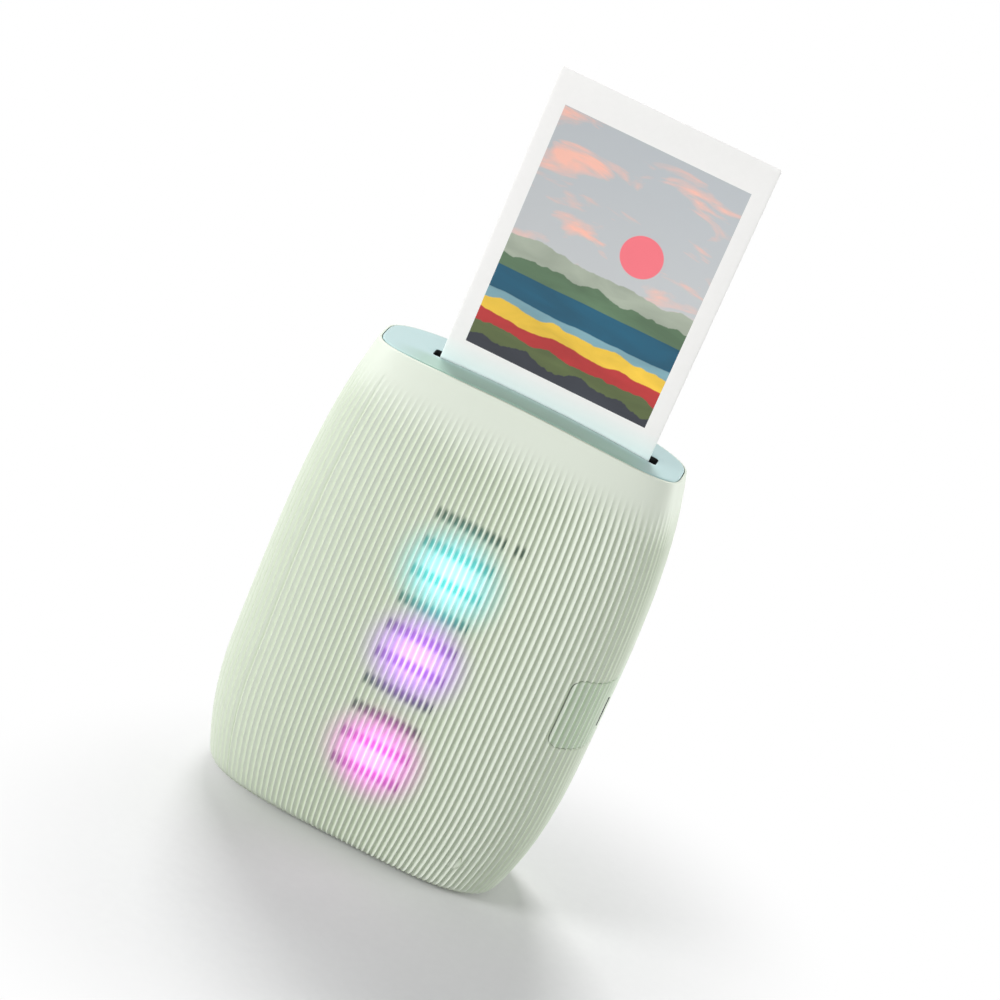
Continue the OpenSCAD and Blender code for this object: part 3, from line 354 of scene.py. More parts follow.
def print_paper(colours):
    """Instant print: a satin white border round a glossy picture, and a dark backing layer."""
    material, node, place = node_material("print_picture")
    low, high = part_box("photo_print")
    parts = node("SeparateXYZ", links={0: place})
    across, back, up = (parts.outputs[axis] for axis in "XYZ")
    u, v = (
        node("MapRange", {"clamp": False, "From Min": start, "From Max": end}, {"Value": source})
        for source, start, end in (
            (across, low.x + SIDE_BORDER, high.x - SIDE_BORDER),
            (up, low.z + FOOT_BORDER, high.z - HEAD_BORDER),
        )
    )
    picture = landscape(node, u, v)
    # the picture keeps inside its frame, on the front face only
    limits = (
        (u, 0.0, "GREATER_THAN"),
        (u, 1.0, "LESS_THAN"),
        (v, 0.0, "GREATER_THAN"),
        (v, 1.0, "LESS_THAN"),
        (back, low.y + 0.1 * MM, "LESS_THAN"),
    )
    tests = [node("Math", {"operation": way, 1: limit}, {0: source}) for source, limit, way in limits]
    inside = chain(node, "Math", TIMES, tests)
    fibre = node("TexNoise", {"Scale": 900.0, "Detail": 3.0}, {"Vector": place})
    white = node("Mix", {**COLOURS, 6: rgba(colours.paper, 0.97), 7: rgba(colours.paper)}, {"Factor": fibre})
    # painted light: the lower border takes a mint tinge of light thrown back from the cap
    foot = {"From Min": low.z + 15.5 * MM, "From Max": low.z + 9.5 * MM, "To Max": 0.75}
    mint = node("MapRange", foot, {"Value": up})
    border = node("Mix", {**COLOURS, 7: rgba(linear("e4f9f7"))}, {"Factor": mint, 6: white})
    colour = node("Mix", COLOURS, {"Factor": inside, 6: border, 7: picture})
    behind = node("Math", {"operation": "GREATER_THAN", 1: high.y - 0.05 * MM}, {0: back})
    colour = node("Mix", {**COLOURS, 7: rgba(colours.backing)}, {"Factor": behind, 6: colour})
    surface(node, colour, (0.42, 0.22), inside, (0.3, 0.008), fibre)
    return material


def clear_plastic(name, colour, roughness, through):
    """Tinted clear plastic with a faint moulding ripple."""
    material, node, place = node_material(name)
    ripple = node("TexNoise", {"Scale": 220.0, "Detail": 1.0}, {"Vector": place})
    tone = node("Mix", {**COLOURS, 6: rgba(colour, 0.9), 7: rgba(colour, 1.1)}, {"Factor": ripple})
    relief = node("Bump", {"Strength": 0.2, "Distance": 0.02 * MM}, {"Height": ripple})
    settings = {"Transmission Weight": through, "Roughness": roughness}
    shader = node("BsdfPrincipled", settings, {"Base Color": tone, "Normal": relief})
    node("OutputMaterial", links={"Surface": shader})
    return material


# ---------- the housing's skin ----------


class Barrel:
    """The housing's skin: squared ovals whose width, front and back bow in to the top and the base."""

    # powers of the bows
    top_bow = 3.57
    front_bow = 3.2
    back_bow = 2.6
    base_bow = 2.34
    # squareness that the section gains on the way up, and loses again close to the top
    squarer, rounder = 0.55, 0.3
    # behind, from this rib on, the flutes keep this share of their depth up to the rim
    back_rib, back_share = 40, 0.4
    # roundness of a rib's crest, as a share of the flute's depth
    crest = 0.12
    rim_round = 0.2 * MM
    # chords on which the section is measured
    chords = 1440
    # distances from a rib's crest, in rib pitches, at which the skin has its columns
    fine_steps = (0, 0.04, 0.1, 0.2, 0.34, 0.5, 0.66, 0.8, 0.9, 0.96)
    coarse_steps = (0, 0.05, 0.16, 0.32, 0.5, 0.68, 0.84, 0.95)
    # heights of the skin's rows over the floor, in mm, and depths of the last ones below the top
    low_rows = (0.3, 0.38, 0.55, 0.8, 1.15, 1.6, 2.2, 3.0, 5.0, *(9 + 5.1 * i for i in range(19)))
    high_rows = (*(21 - 1.1 * i for i in range(15)), 5.4, 4.0, 3.7, 2.4, 1.2, 0.5, 0.2, 0.1, 0.03, 0.0)

    def __init__(self, sizes):
        self.s = sizes
        points = [self.skin(-90 + 360 * i / self.chords, sizes.belly_z, 0) for i in range(self.chords + 1)]
        self.arc = [0.0]
        for last, point in zip(points, points[1:]):
            self.arc.append(self.arc[-1] + (point - last).length)
        self.pitch = self.arc[-1] / sizes.rib_count

    def rise(self, z):
        """Share of the way from the belly to the top."""
        return max(0.0, (z - self.s.belly_z) / (self.s.body_h - self.s.belly_z))

    def drop(self, z):
        """Share of the way from the belly to the base."""
        return max(0.0, (self.s.belly_z - z) / self.s.belly_z)

    def bowed(self, full, lean, bow, tuck, z):
        """A half size of the section, drawn in to the top by lean and to the base by tuck."""
        return full / 2 - lean * self.rise(z) ** bow - tuck * self.drop(z) ** self.base_bow

    def side(self, z):
        """Half width of the section at a height."""
        s = self.s
        return self.bowed(s.body_w, (s.body_w - s.top_w) / 2, self.top_bow, s.side_tuck, z)

    def front(self, z):
        """Distance of the front in front of the middle plane."""
        return self.bowed(self.s.body_d, self.s.front_lean, self.front_bow, self.s.front_tuck, z)

    def back(self, z):
        """Distance of the back behind the middle plane."""
        return self.bowed(self.s.body_d, self.s.back_lean, self.back_bow, self.s.back_tuck, z)

    def power(self, z):
        """Squareness of the section at a height."""
        rise = self.rise(z)
        return self.s.squareness + self.squarer * rise - self.rounder * rise**8

    def sag(self, x):
        """How far the top edge lies below its middle."""
        return self.s.crown * (2 * x / self.s.top_w) ** 2

    def skin(self, angle, z, inset):
        """Point of the skin at an angle in degrees and a height, drawn in by inset."""
        a, n = math.radians(angle), self.power(z)
        c, d = math.cos(a), math.sin(a)
        reach = (abs(c) ** n + abs(d) ** n) ** (-1 / n)
        front, back = self.front(z), self.back(z)
        x = (self.side(z) - inset) * c * reach
        y = (back - front) / 2 + ((front + back) / 2 - inset) * d * reach
        return Vector((x, y, z - self.sag(x) * self.rise(z)))

    def rib_skin(self, ribs, z, inset):
        """Point of the skin at a number of ribs from the middle of the front."""
        return self.skin(self.angle(ribs), z, inset)

    def turn(self, point, z):
        """Angle in degrees of a point on the section at a height."""
        front, back = self.front(z), self.back(z)
        away = (point.y - (back - front) / 2) / ((front + back) / 2)
        return math.degrees(math.atan2(away, point.x / self.side(z)))

    def angle(self, ribs):
        """Angle at a number of ribs from the middle of the front."""
        turns, ribs = divmod(ribs, self.s.rib_count)
        goal, low, high = ribs * self.pitch, 0, self.chords
        while high - low > 1:
            half = (low + high) // 2
            low, high = (half, high) if self.arc[half] <= goal else (low, half)
        part = (goal - self.arc[low]) / (self.arc[high] - self.arc[low])
        return -90 + 360 * (turns + (low + part) / self.chords)

    def ribs_at(self, point):
        """Number of ribs from the middle of the front to a point of the skin."""
        z = point.z + self.sag(point.x) * self.rise(point.z)
        share = (self.turn(point, z) + 90) % 360 / 360 * self.chords
        i = min(int(share), self.chords - 1)
        return (self.arc[i] + (self.arc[i + 1] - self.arc[i]) * (share - i)) / self.pitch

    def fade(self, ribs, z):
        """Share of the flutes' depth that is left at a height."""
        low, high = self.s.body_h - self.s.fade_start, self.s.body_h - self.s.fade_end
        part = min(1.0, max(0.0, (high - z) / (high - low)))
        left = part * part * (3 - 2 * part)
        behind = self.back_rib < ribs % self.s.rib_count < self.s.rib_count - self.back_rib
        return max(left, self.back_share) if behind else left

    def flute(self, ribs, z):
        """Share of the full depth: concave between narrow rounded crests."""
        u = abs(ribs - round(ribs))
        bowl = math.hypot(4 * u * (1 - u), self.crest) - self.crest
        return bowl / (math.hypot(1, self.crest) - self.crest) * self.fade(ribs, z)

    def base_inset(self, z):
        """How far the rounding of the base draws the skin in."""
        return round_inset(self.s.base_round, self.s.base_round + self.s.base_lift - z)

    def outer(self, ribs, z):
        """Point of the fluted outer face."""
        rim = round_inset(self.rim_round, z - (self.s.body_h - self.rim_round))
        return self.rib_skin(ribs, z, self.base_inset(z) + rim + self.s.rib_depth * self.flute(ribs, z))

    def inner(self, ribs, z, wall):
        """Point of the inner face: a thin rim, with a ledge under the cap's skirt."""
        s, rim_z = self.s, self.s.body_h - 3.7 * MM
        knots = (
            (s.body_h - s.fade_end, wall),
            (rim_z - 0.3 * MM, wall + 0.9 * MM),
            (rim_z, s.rim_wall + 0.55 * MM),
            (s.body_h, s.rim_wall),
        )
        inset = s.rim_wall
        if z <= knots[0][0]:
            inset = max(wall, self.base_inset(z) + 0.8 * wall)
        else:
            for (z0, a), (z1, b) in zip(knots, knots[1:]):
                if z <= z1:
                    inset = a + (b - a) * (z - z0) / (z1 - z0)
                    break
        return self.rib_skin(ribs, z, inset)

    def wall(self, first, last, low, high, wall, steps):
        """Closed wall between two rib counts and two heights."""
        ribs = sorted({round(k + s, 6) for k in range(math.floor(first), math.ceil(last) + 1) for s in steps})
        ribs = [first] + [r for r in ribs if first < r < last] + [last]
        rows = [r * MM for r in self.low_rows] + [self.s.body_h - r * MM for r in self.high_rows]
        rows = [low] + [z for z in rows if low < z < high] + [high]
        across, up = len(ribs) - 1, len(rows) - 1
        bm = bmesh.new()
        borders = []
        for inner in (False, True):
            made = bmesh.ops.create_grid(bm, x_segments=across, y_segments=up, size=1.0)["verts"]
            for vert in made:
                rib = ribs[round((vert.co.x + 1) / 2 * across)]
                z = rows[round((vert.co.y + 1) / 2 * up)]
                vert.co = self.inner(rib, z, wall) if inner else self.outer(rib, z)
            if inner:
                bmesh.ops.reverse_faces(bm, faces=list({face for vert in made for face in vert.link_faces}))
            borders += [edge for vert in made for edge in vert.link_edges if edge.is_boundary]
        bmesh.ops.bridge_loops(bm, edges=list(dict.fromkeys(borders)))
        bmesh.ops.recalc_face_normals(bm, faces=bm.faces)
        return bm


def round_inset(radius, past):
    """How far a rounding draws a face in, at a distance past the rounding's start."""
    return 0.0 if past <= 0 else radius - math.sqrt(max(0.0, radius * radius - past * past))


# ---------- mesh work ----------


def outline_solid(points, axis, low, high):
    """Closed solid with this outline, drawn along x, y or z from low to high."""
    bm = bmesh.new()
    ring = bmesh.ops.create_circle(bm, cap_ends=True, segments=len(points), radius=1.0)["verts"]
    for vert, (a, b) in zip(ring, points):
        vert.co = {"x": (low, a, b), "y": (a, low, b), "z": (a, b, low)}[axis]
    new = bmesh.ops.extrude_face_region(bm, geom=list(bm.faces))["geom"]
    move = [high - low if name == axis else 0 for name in "xyz"]
    bmesh.ops.translate(bm, verts=[g for g in new if isinstance(g, bmesh.types.BMVert)], vec=move)
    bmesh.ops.recalc_face_normals(bm, faces=bm.faces)
    return bm


def block(low, high, axis="y"):
    """Closed box from its lowest to its highest corner, both in millimetres, drawn along x or y."""
    (x0, y0, z0), (x1, y1, z1) = mm(*low), mm(*high)
    if axis == "x":
        return outline_solid([(y0, z0), (y1, z0), (y1, z1), (y0, z1)], "x", x0, x1)
    return outline_solid([(x0, z0), (x1, z0), (x1, z1), (x0, z1)], "y", y0, y1)


def round_outline(x, y, radius, count, start=0.0):
    """Corners of a round outline, the first one at an angle in degrees."""
    turns = [math.radians(start + 360 * k / count) for k in range(count)]
    return [(x + radius * math.cos(a), y + radius * math.sin(a)) for a in turns]


def rounded_outline(low, high, radius, steps=8, square=False):
    """Rectangle with round corners from its lowest to its highest corner, the lower ones square on demand."""
    points = []
    corners = ((high[0], high[1], 0), (low[0], high[1], 90), (low[0], low[1], 180), (high[0], low[1], 270))
    for x, y, start in corners:
        if square and start >= 180:
            points.append((x, y))
            continue
        cx = x - math.copysign(radius, x - (low[0] + high[0]) / 2)
        cy = y - math.copysign(radius, y - (low[1] + high[1]) / 2)
        for i in range(steps + 1):
            a = math.radians(start + 90 * i / steps)
            points.append((cx + radius * math.cos(a), cy + radius * math.sin(a)))
    return points


def divide(points, longest):
    """An outline with its long sides cut into short ones."""
    made = []
    for (x0, y0), (x1, y1) in zip(points, points[1:] + points[:1]):
        parts = max(1, math.ceil(math.hypot(x1 - x0, y1 - y0) / longest))
        made += [(x0 + (x1 - x0) * k / parts, y0 + (y1 - y0) * k / parts) for k in range(parts)]
    return made


def draw_on(bm, edges):
    """Extrudes a ring of edges and returns the new ring's edges and points, still in the old place."""
    new = bmesh.ops.extrude_edge_only(bm, edges=edges)["geom"]
    return [[g for g in new if isinstance(g, kind)] for kind in (bmesh.types.BMEdge, bmesh.types.BMVert)]


def close_ends(bm):
    """Fills the open ends of a tube and turns its faces outward."""
    bmesh.ops.holes_fill(bm, edges=[e for e in bm.edges if e.is_boundary], sides=0)
    bmesh.ops.recalc_face_normals(bm, faces=bm.faces)


def make_object(name, bm):
    """A new object at the origin from a bmesh."""
    mesh = bpy.data.meshes.new(name)
    bm.to_mesh(mesh)
    bm.free()
    made = bpy.data.objects.new(name, mesh)
    bpy.context.scene.collection.objects.link(made)
    return made


def combine(target, tool, operation):
    """Cuts, joins or intersects one object with a closed bmesh, and bakes the result."""
    cutter = make_object("cutter", tool)
    change = target.modifiers.new("combine", "BOOLEAN")
    change.operation = operation
    change.object = cutter
    names = [item.identifier for item in change.bl_rna.properties["solver"].enum_items]
    change.solver = "MANIFOLD" if "MANIFOLD" in names else "EXACT"
    bpy.context.view_layer.update()
    baked = bpy.data.meshes.new_from_object(target.evaluated_get(bpy.context.evaluated_depsgraph_get()))
    target.modifiers.clear()
    spare = (target.data, cutter.data)
    target.data = baked
    bpy.data.objects.remove(cutter)
    for mesh in spare:
        bpy.data.meshes.remove(mesh)
    if not baked.polygons:
        raise RuntimeError(f"{operation} left nothing of {target.name}")


def merged(first, second, operation):
    """The closed bmesh that two closed bmeshes make together."""
    both = make_object("merged", first)
    combine(both, second, operation)
    bm = bmesh.new()
    bm.from_mesh(both.data)
    bpy.data.objects.remove(both)
    return bm


def join(target, *shapes):
    """Adds closed bmeshes to an object as they are."""
    bm = bmesh.new()
    bm.from_mesh(target.data)
    for shape in shapes:
        spare = bpy.data.meshes.new("spare")
        shape.to_mesh(spare)
        shape.free()
        bm.from_mesh(spare)
        bpy.data.meshes.remove(spare)
    bm.to_mesh(target.data)
    bm.free()


def dress(piece, material, body, nodes, sharp=50):
    """Finishes a piece: smooth shading with sharp corners, its material and its body, and hides its CAD nodes."""
    mesh = piece.data
    mesh.shade_smooth()
    mesh.set_sharp_from_angle(angle=math.radians(sharp))
    mesh.materials.clear()
    mesh.materials.append(material)
    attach(piece, body)
    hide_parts(*nodes)


def dress_fluted(piece, barrel, material, body, nodes):
    """Finishes a fluted piece, whose points say how near a rib's crest they are: 0 in a flute, 1 on a crest."""
    values = [1.0 - barrel.flute(barrel.ribs_at(vert.co), vert.co.z) for vert in piece.data.vertices]
    piece.data.attributes.new("rib", "FLOAT", "POINT").data.foreach_set("value", values)
    dress(piece, material, body, nodes, sharp=70)


def crease_ends(piece, barrel):
    """Marks the wall's flat ends at the side seams sharp, so that the outer face keeps its shading up to them."""
    half = barrel.s.rib_count / 2
    places = [(barrel.ribs_at(vert.co) + half) % (2 * half) - half for vert in piece.data.vertices]
    at_end = [abs(abs(place) - SEAM_RIB) < 0.02 for place in places]
    for edge in piece.data.edges:
        if all(at_end[index] for index in edge.vertices):
            edge.use_edge_sharp = True


# Film door, in mm: half its width, its top, the hinge's axis, the round of its lower edge and its latch's tray
DOOR_HALF, DOOR_TOP, HINGE_Y, HINGE_Z, HINGE_ROUND, TRAY_Y = 35.5, 100.2, 16.9, 4.0, 1.25, 10.8


def door_solids(grow):
    """The space of the door's plate and that of its lower edge, which is eight-sided, both made larger by grow."""
    half, top, hinge_y, hinge_z, reach = mm(DOOR_HALF, DOOR_TOP, HINGE_Y, HINGE_Z, HINGE_ROUND)
    wide = half + grow
    plate = rounded_outline((-wide, hinge_z), (wide, top + grow), 3 * MM, square=True)
    if grow:
        reach = (reach + grow) / math.cos(math.radians(22.5))
    edge = round_outline(hinge_y, hinge_z, reach, 8, 22.5)
    return outline_solid(plate, "y", 6 * MM, 60 * MM), outline_solid(edge, "x", -wide, wide)


def button_solids(barrel, shrink):
    """The button's space from the front, its left side on the seam at the front shell, and from the side."""
    seam_x = barrel.rib_skin(SEAM_RIB, 60 * MM, 0).x - 0.25 * MM
    low, high = 50.1 * MM + shrink, 69.9 * MM - shrink
    front = rounded_outline((seam_x + shrink, low), (70 * MM, high), 3 * MM - shrink, steps=12)
    side = rounded_outline((-40 * MM, low), (6 * MM - 2 * shrink, high), 3 * MM)
    return outline_solid(front, "y", *mm(-40, 20)), outline_solid(side, "x", *mm(20, 60))


# ---------- pieces ----------


class PRINTER_OT_shells(bpy.types.Operator):
    """Builds the front and rear shells with their flutes"""

    bl_idname = "printer.shells"
    bl_label = "Build Shells"

    def execute(self, context):
        sizes, colours = context.scene.printer_sizes, context.scene.printer_colours
        barrel = Barrel(sizes)
        tones = colours.shell, colours.shell_flute_shade
        hues = colours.light_high, colours.light_mid, colours.light_low
        lit = shell_plastic("shell_sage_lit", *tones, hues)
        plain = shell_plastic("shell_sage", *tones)
        span = sizes.base_lift, sizes.body_h, sizes.wall
        front = make_object("front_housing", barrel.wall(-SEAM_RIB, SEAM_RIB, *span, Barrel.fine_steps))
        # round bosses reach back from inside the wall to the chassis
        bosses = []
        for x, z in product(mm(-22, 28), mm(10.5, 94.5)):
            base = sizes.wall - 0.2 * MM - barrel.front(z)
            bosses.append(outline_solid(round_outline(x, z, 2.2 * MM, 24), "y", base, -9.1 * MM))
        join(front, *bosses)
        dress_fluted(front, barrel, lit, "housing", ["front_shell"])
        crease_ends(front, barrel)

        last = sizes.rib_count - SEAM_RIB
        rear = make_object("rear_housing", barrel.wall(SEAM_RIB, last, *span, Barrel.coarse_steps))
        wide = DOOR_HALF + sizes.seam / MM
        port = rounded_outline(mm(-4.7, 10.15), mm(4.7, 13.85), 1.84 * MM)
        openings = (
            *door_solids(sizes.seam),
            # room behind the door's lower edge
            block((-wide, HINGE_Y, 2.1), (wide, 60, 5)),
            merged(*button_solids(barrel, 0), "INTERSECT"),
            # notch for the latch
            block((-3.8, 5, 99.9), (3.8, 30, 102.4)),
            # charging inlet
            outline_solid(port, "x", *mm(-60, -30)),
        )
        for tool in openings:
            combine(rear, tool, "DIFFERENCE")
        dress_fluted(rear, barrel, plain, "housing", ["rear_shell"])
        crease_ends(rear, barrel)
        return {"FINISHED"}


class PRINTER_OT_covers(bpy.types.Operator):
    """Builds the film door and the side button, which carry the flutes on"""

    bl_idname = "printer.covers"
    bl_label = "Build Door and Button"

    # ribs that the walls take in before their outlines cut them: the door's to each side of the middle
    door_ribs, button_ribs = 26, (22.56, 42)
    # fins on the door's inner side, in mm: left and right, edge in y, lowest and highest point, steps between
    fins = (
        (-15, -13.5, 8.2, 12, 92, 10),
        (14, 15.5, 8.2, 12, 92, 10),
        # floor and cheeks of the latch's tray
        (-8, 8, TRAY_Y - 1.2, 78.7, 80.3, 1),
        (-8, -6.3, TRAY_Y - 1.2, 78.7, 98, 4),
        (6.3, 8, TRAY_Y - 1.2, 78.7, 98, 4),
    )
    # outline of a hinge lug from the hinge's axis, in mm
    lug = ((0.9, -0.7), (0.9, 4.5), (-0.3, 4.5), (-1.25, 0.5), (-1.25, -0.4), (-0.45, -1.125), (0.45, -1.125))
    # openings of the door, in mm: the latch's tray and its way up, the window, the chassis's ears
    openings = (
        ((-6.3, TRAY_Y, 80.3), (6.3, 40, 96.6)),
        ((-3.8, TRAY_Y, 80.3), (3.8, 40, 101.2)),
        ((17, 5, 52), (23, 40, 72)),
        ((-23.25, 5, 0), (-20.15, 40, 5.55)),
        ((20.15, 5, 0), (23.25, 40, 5.55)),
    )
    # the button's pin, in mm: place in x and y, and radius
    pin = (36.2, -10.3, 0.8)
    # the smoked strip: rib and height of its middle, and how far it stands out over the skin
    strip_rib, strip_z, strip_proud = 31.8, 59.35 * MM, 0.07 * MM
    # its outline in mm: depths below its face and places in y, from the front edge to the rear one
    strip_rounding = ((0.12, -4.83), (0.03, -4.8), (0, -4.72), (0, -4.08), (0.03, -4.0), (0.12, -3.97))

    def execute(self, context):
        sizes, colours = context.scene.printer_sizes, context.scene.printer_colours
        barrel = Barrel(sizes)
        self.door(sizes, barrel, shell_plastic("door_sage", colours.shell, colours.shell_flute_shade))
        self.button(barrel, shell_plastic("button_sage", colours.button, colours.button_flute_shade))
        return {"FINISHED"}

    def door(self, sizes, barrel, plain):
        """The film door with its fins, tray and hinge lugs."""
        half = sizes.rib_count / 2
        ends = half - self.door_ribs, half + self.door_ribs
        shape = barrel.wall(*ends, *mm(1.2, 102), sizes.wall, Barrel.coarse_steps)
        door = make_object("ribbed_film_door", shape)
        combine(door, merged(*door_solids(0), "UNION"), "INTERSECT")
        shapes = []
        for left, right, edge, low, high, steps in self.fins:
            rows = [(low + (high - low) * i / steps) * MM for i in range(steps + 1)]
            inner = [(barrel.back(z) - sizes.wall + 0.1 * MM, z) for z in rows]
            fin = [(edge * MM, rows[0]), *inner, (edge * MM, rows[-1])]
            shapes.append(outline_solid(fin, "x", *mm(left, right)))
        shapes.append(block((-8, TRAY_Y - 1.2, 78.7), (8, TRAY_Y, 98)))
        lug = [mm(HINGE_Y + y, HINGE_Z + z) for y, z in self.lug]
        for x in (-18.5, 18.5):
            shapes.append(outline_solid(lug, "x", *mm(x - 1.5, x + 1.5)))
        for low, high in self.openings:
            combine(door, block(low, high), "DIFFERENCE")
        join(door, *shapes)
        dress_fluted(door, barrel, plain, "door", ["film_door"])

    def button(self, barrel, green):
        """The side button with its pin, arms and smoked strip."""
        shape = barrel.wall(*self.button_ribs, *mm(45, 75, 1.6), Barrel.fine_steps)
        button = make_object("side_button", shape)
        for tool in button_solids(barrel, 0.2 * MM):
            combine(button, tool, "INTERSECT")
        combine(button, block((38, -4.85, 55.2), (50, -3.95, 63.5), "x"), "DIFFERENCE")
        shapes = [outline_solid(round_outline(*mm(*self.pin), 16), "z", *mm(47.9, 72.1))]
        # both arms reach from the pin to the inner face
        reach = [tuple(barrel.rib_skin(SEAM_RIB + 1.5 + k, 60 * MM, 1.25 * MM).to_2d()) for k in range(7)]
        arm = [mm(35.3, -9.4), mm(35.3, -11.3), *reach, mm(37.1, -9.3)]
        for z in (50.75, 67.65):
            shapes.append(outline_solid(arm, "z", *mm(z, z + 1.6)))
        join(button, *shapes)
        dress_fluted(button, barrel, green, "button", ["power_button"])
        face = barrel.rib_skin(self.strip_rib, self.strip_z, 0).x + self.strip_proud
        strip = [mm(43.7, -3.97), mm(43.7, -4.83), *((face - d * MM, y * MM) for d, y in self.strip_rounding)]
        window = make_object("status_strip", outline_solid(strip, "z", *mm(55.3, 63.4)))
        smoke = clear_plastic("strip_smoke", linear("1c2622"), 0.2, 0.2)
        dress(window, smoke, "button", ["status_window"])


class PRINTER_OT_cap(bpy.types.Operator):
    """Builds the mint cap with its soft edge and the slot that the print leaves by"""

    bl_idname = "printer.cap"
    bl_label = "Build Cap"

    # columns round the cap, its height over the housing's edge, its shift to the back and the height of its skirt
    columns = [-90 + 360 * k / 288 for k in range(288)]
    proud, shift, skirt = mm(0.2, 0.12, 3.6)
    edge_round = 0.32 * MM
    # slot: half its length, its depth and the radius of its corners
    slot_half, slot_d, slot_round = mm(28.8, 3.6, 0.7)
    # soft edge of the slot, in mm: growth of its outline and height over the cap's face
    slot_rings = ((0, -0.3), (0.06, -0.14), (0.16, -0.04), (0.3, 0.001), (0.3, 4.0))

    def execute(self, context):
        sizes, colours = context.scene.printer_sizes, context.scene.printer_colours
        barrel = Barrel(sizes)
        inset = sizes.rim_wall + 0.2 * MM

        def top(x):
            return sizes.body_h + self.proud - barrel.sag(x)

        cap = make_object("domed_cap", self.dome(barrel, inset, top))
        # the slot starts close in front of the sheet's middle plane
        low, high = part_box("photo_print")
        middle, front = (low.x + high.x) / 2, (low.y + high.y) / 2 - 0.45 * MM
        slot = (middle - self.slot_half, front), (middle + self.slot_half, front + self.slot_d)
        hollow = [tuple(barrel.skin(a, sizes.body_h, inset + 1.2 * MM).to_2d()) for a in self.columns[::3]]
        roof = sizes.body_h - sizes.crown - 1.8 * MM
        combine(cap, outline_solid(hollow, "z", sizes.body_h - 12 * MM, roof), "DIFFERENCE")
        combine(cap, self.slot_space(sizes, top, *slot), "DIFFERENCE")
        dress(cap, cap_plastic(colours), "housing", ["top_cap"], sharp=40)
        # the slot is lined with black
        cap.data.materials.append(moulded("slot_black", linear("121817"), 0.6, 0.3, 0.02, 0.2))
        for face in cap.data.polygons:
            x, y, z = face.center
            upright = abs(face.normal.z) < 0.5
            within = abs(x - middle) < 29 * MM and slot[0][1] - 0.1 * MM < y < slot[1][1] + 0.1 * MM
            if upright and within and z < top(x) - 0.2 * MM:
                face.material_index = 1
        return {"FINISHED"}

    def dome(self, barrel, inset, top):
        """Closed body of the cap, from its skirt's lower edge over the soft edge to the middle."""
        rim, r = barrel.s.body_h, self.edge_round
        rings = [(0.0, 2 * r), (0.0, r)]
        rings += [(r * (1 - math.cos(a)), r * (1 - math.sin(a))) for a in (math.radians(15 * k) for k in range(1, 7))]
        rings += [(draw, 0.0) for draw in mm(0.9, 1.8, 3.2, 5.0, 7.0, 9.0)]

        def place(angle, draw, depth):
            point = barrel.skin(angle, rim, inset + draw)
            return point.x, point.y + self.shift, top(point.x) - depth

        bm = bmesh.new()
        count = len(self.columns)
        ring = bmesh.ops.create_circle(bm, cap_ends=False, segments=count, radius=1.0)["verts"]
        for vert, angle in zip(ring, self.columns):
            vert.co = place(angle, 0.0, self.skirt)
        edges = list(bm.edges)
        for draw, depth in rings:
            edges, ring = draw_on(bm, edges)
            for vert in ring:
                vert.co = place(barrel.turn(vert.co - Vector((0, self.shift, 0)), rim), draw, depth)
        bmesh.ops.triangle_fill(bm, use_beauty=True, edges=edges)
        close_ends(bm)
        return bm

    def slot_space(self, sizes, top, low, high):
        """Closed space of the slot, which widens softly at the cap's face."""
        r = self.slot_round
        outline = divide(rounded_outline(low, high, r), 1.2 * MM)
        bm = bmesh.new()
        ring = bmesh.ops.create_circle(bm, cap_ends=True, segments=len(outline), radius=1.0)["verts"]
        for vert, (x, y) in zip(ring, outline):
            vert.co = (x, y, sizes.body_h - 12 * MM)
        edges = list(bm.edges)
        for grow, depth in self.slot_rings:
            edges, ring = draw_on(bm, edges)
            for vert in ring:
                x, y = min(outline, key=lambda point: (Vector(point) - vert.co.to_2d()).length_squared)
                inner = (min(max(value, a + r), b - r) for value, a, b in zip((x, y), low, high))
                out = (Vector((x, y)) - Vector(tuple(inner))).normalized() * grow * MM
                vert.co = (x + out.x, y + out.y, top(x) + depth * MM)
        close_ends(bm)
        return bm


class PRINTER_OT_print(bpy.types.Operator):
    """Builds the coming print: a thin laminated sheet with soft edges and a recessed picture"""

    bl_idname = "printer.sheet"
    bl_label = "Build Print"

    def execute(self, context):
        low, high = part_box("photo_print")
        bm = bmesh.new()
        bmesh.ops.create_cube(bm, size=1.0)
        for vert in bm.verts:
            vert.co = [low[i] if vert.co[i] < 0 else high[i] for i in range(3)]
        # the four corners, whose edges run from front to back, and then the rims of both faces
        for corners, offset, segments in ((True, 0.6 * MM, 5), (False, 0.07 * MM, 2)):
            edges = [e for e in bm.edges if (abs(e.verts[0].co.y - e.verts[1].co.y) > 0.1 * MM) == corners]
            bmesh.ops.bevel(bm, geom=edges, offset=offset, offset_type="OFFSET", affect="EDGES",
                            segments=segments, profile=0.5, material=-1)
        # the picture lies a hair below the border
        face = min(bm.faces, key=lambda f: (round(f.calc_center_median().y, 6), -f.calc_area()))
        bmesh.ops.inset_region(bm, faces=[face], thickness=0.5 * MM, use_even_offset=True)
        left, right = low.x + SIDE_BORDER, high.x - SIDE_BORDER
        bottom, upper = low.z + FOOT_BORDER, high.z - HEAD_BORDER
        for step, sink in (mm(0, 0), mm(0.12, 0.03)):
            bmesh.ops.inset_region(bm, faces=[face], thickness=0.05 * MM, use_even_offset=True)
            for vert in face.verts:
                vert.co.x = left + step if vert.co.x < (left + right) / 2 else right - step
                vert.co.z = bottom + step if vert.co.z < (bottom + upper) / 2 else upper - step
                vert.co.y = low.y + sink
        bmesh.ops.remove_doubles(bm, verts=bm.verts, dist=0.001 * MM)
        bmesh.ops.recalc_face_normals(bm, faces=bm.faces)
        paper = print_paper(context.scene.printer_colours)
        dress(make_object("instant_print", bm), paper, "print", ["photo_print"], sharp=30)
        return {"FINISHED"}


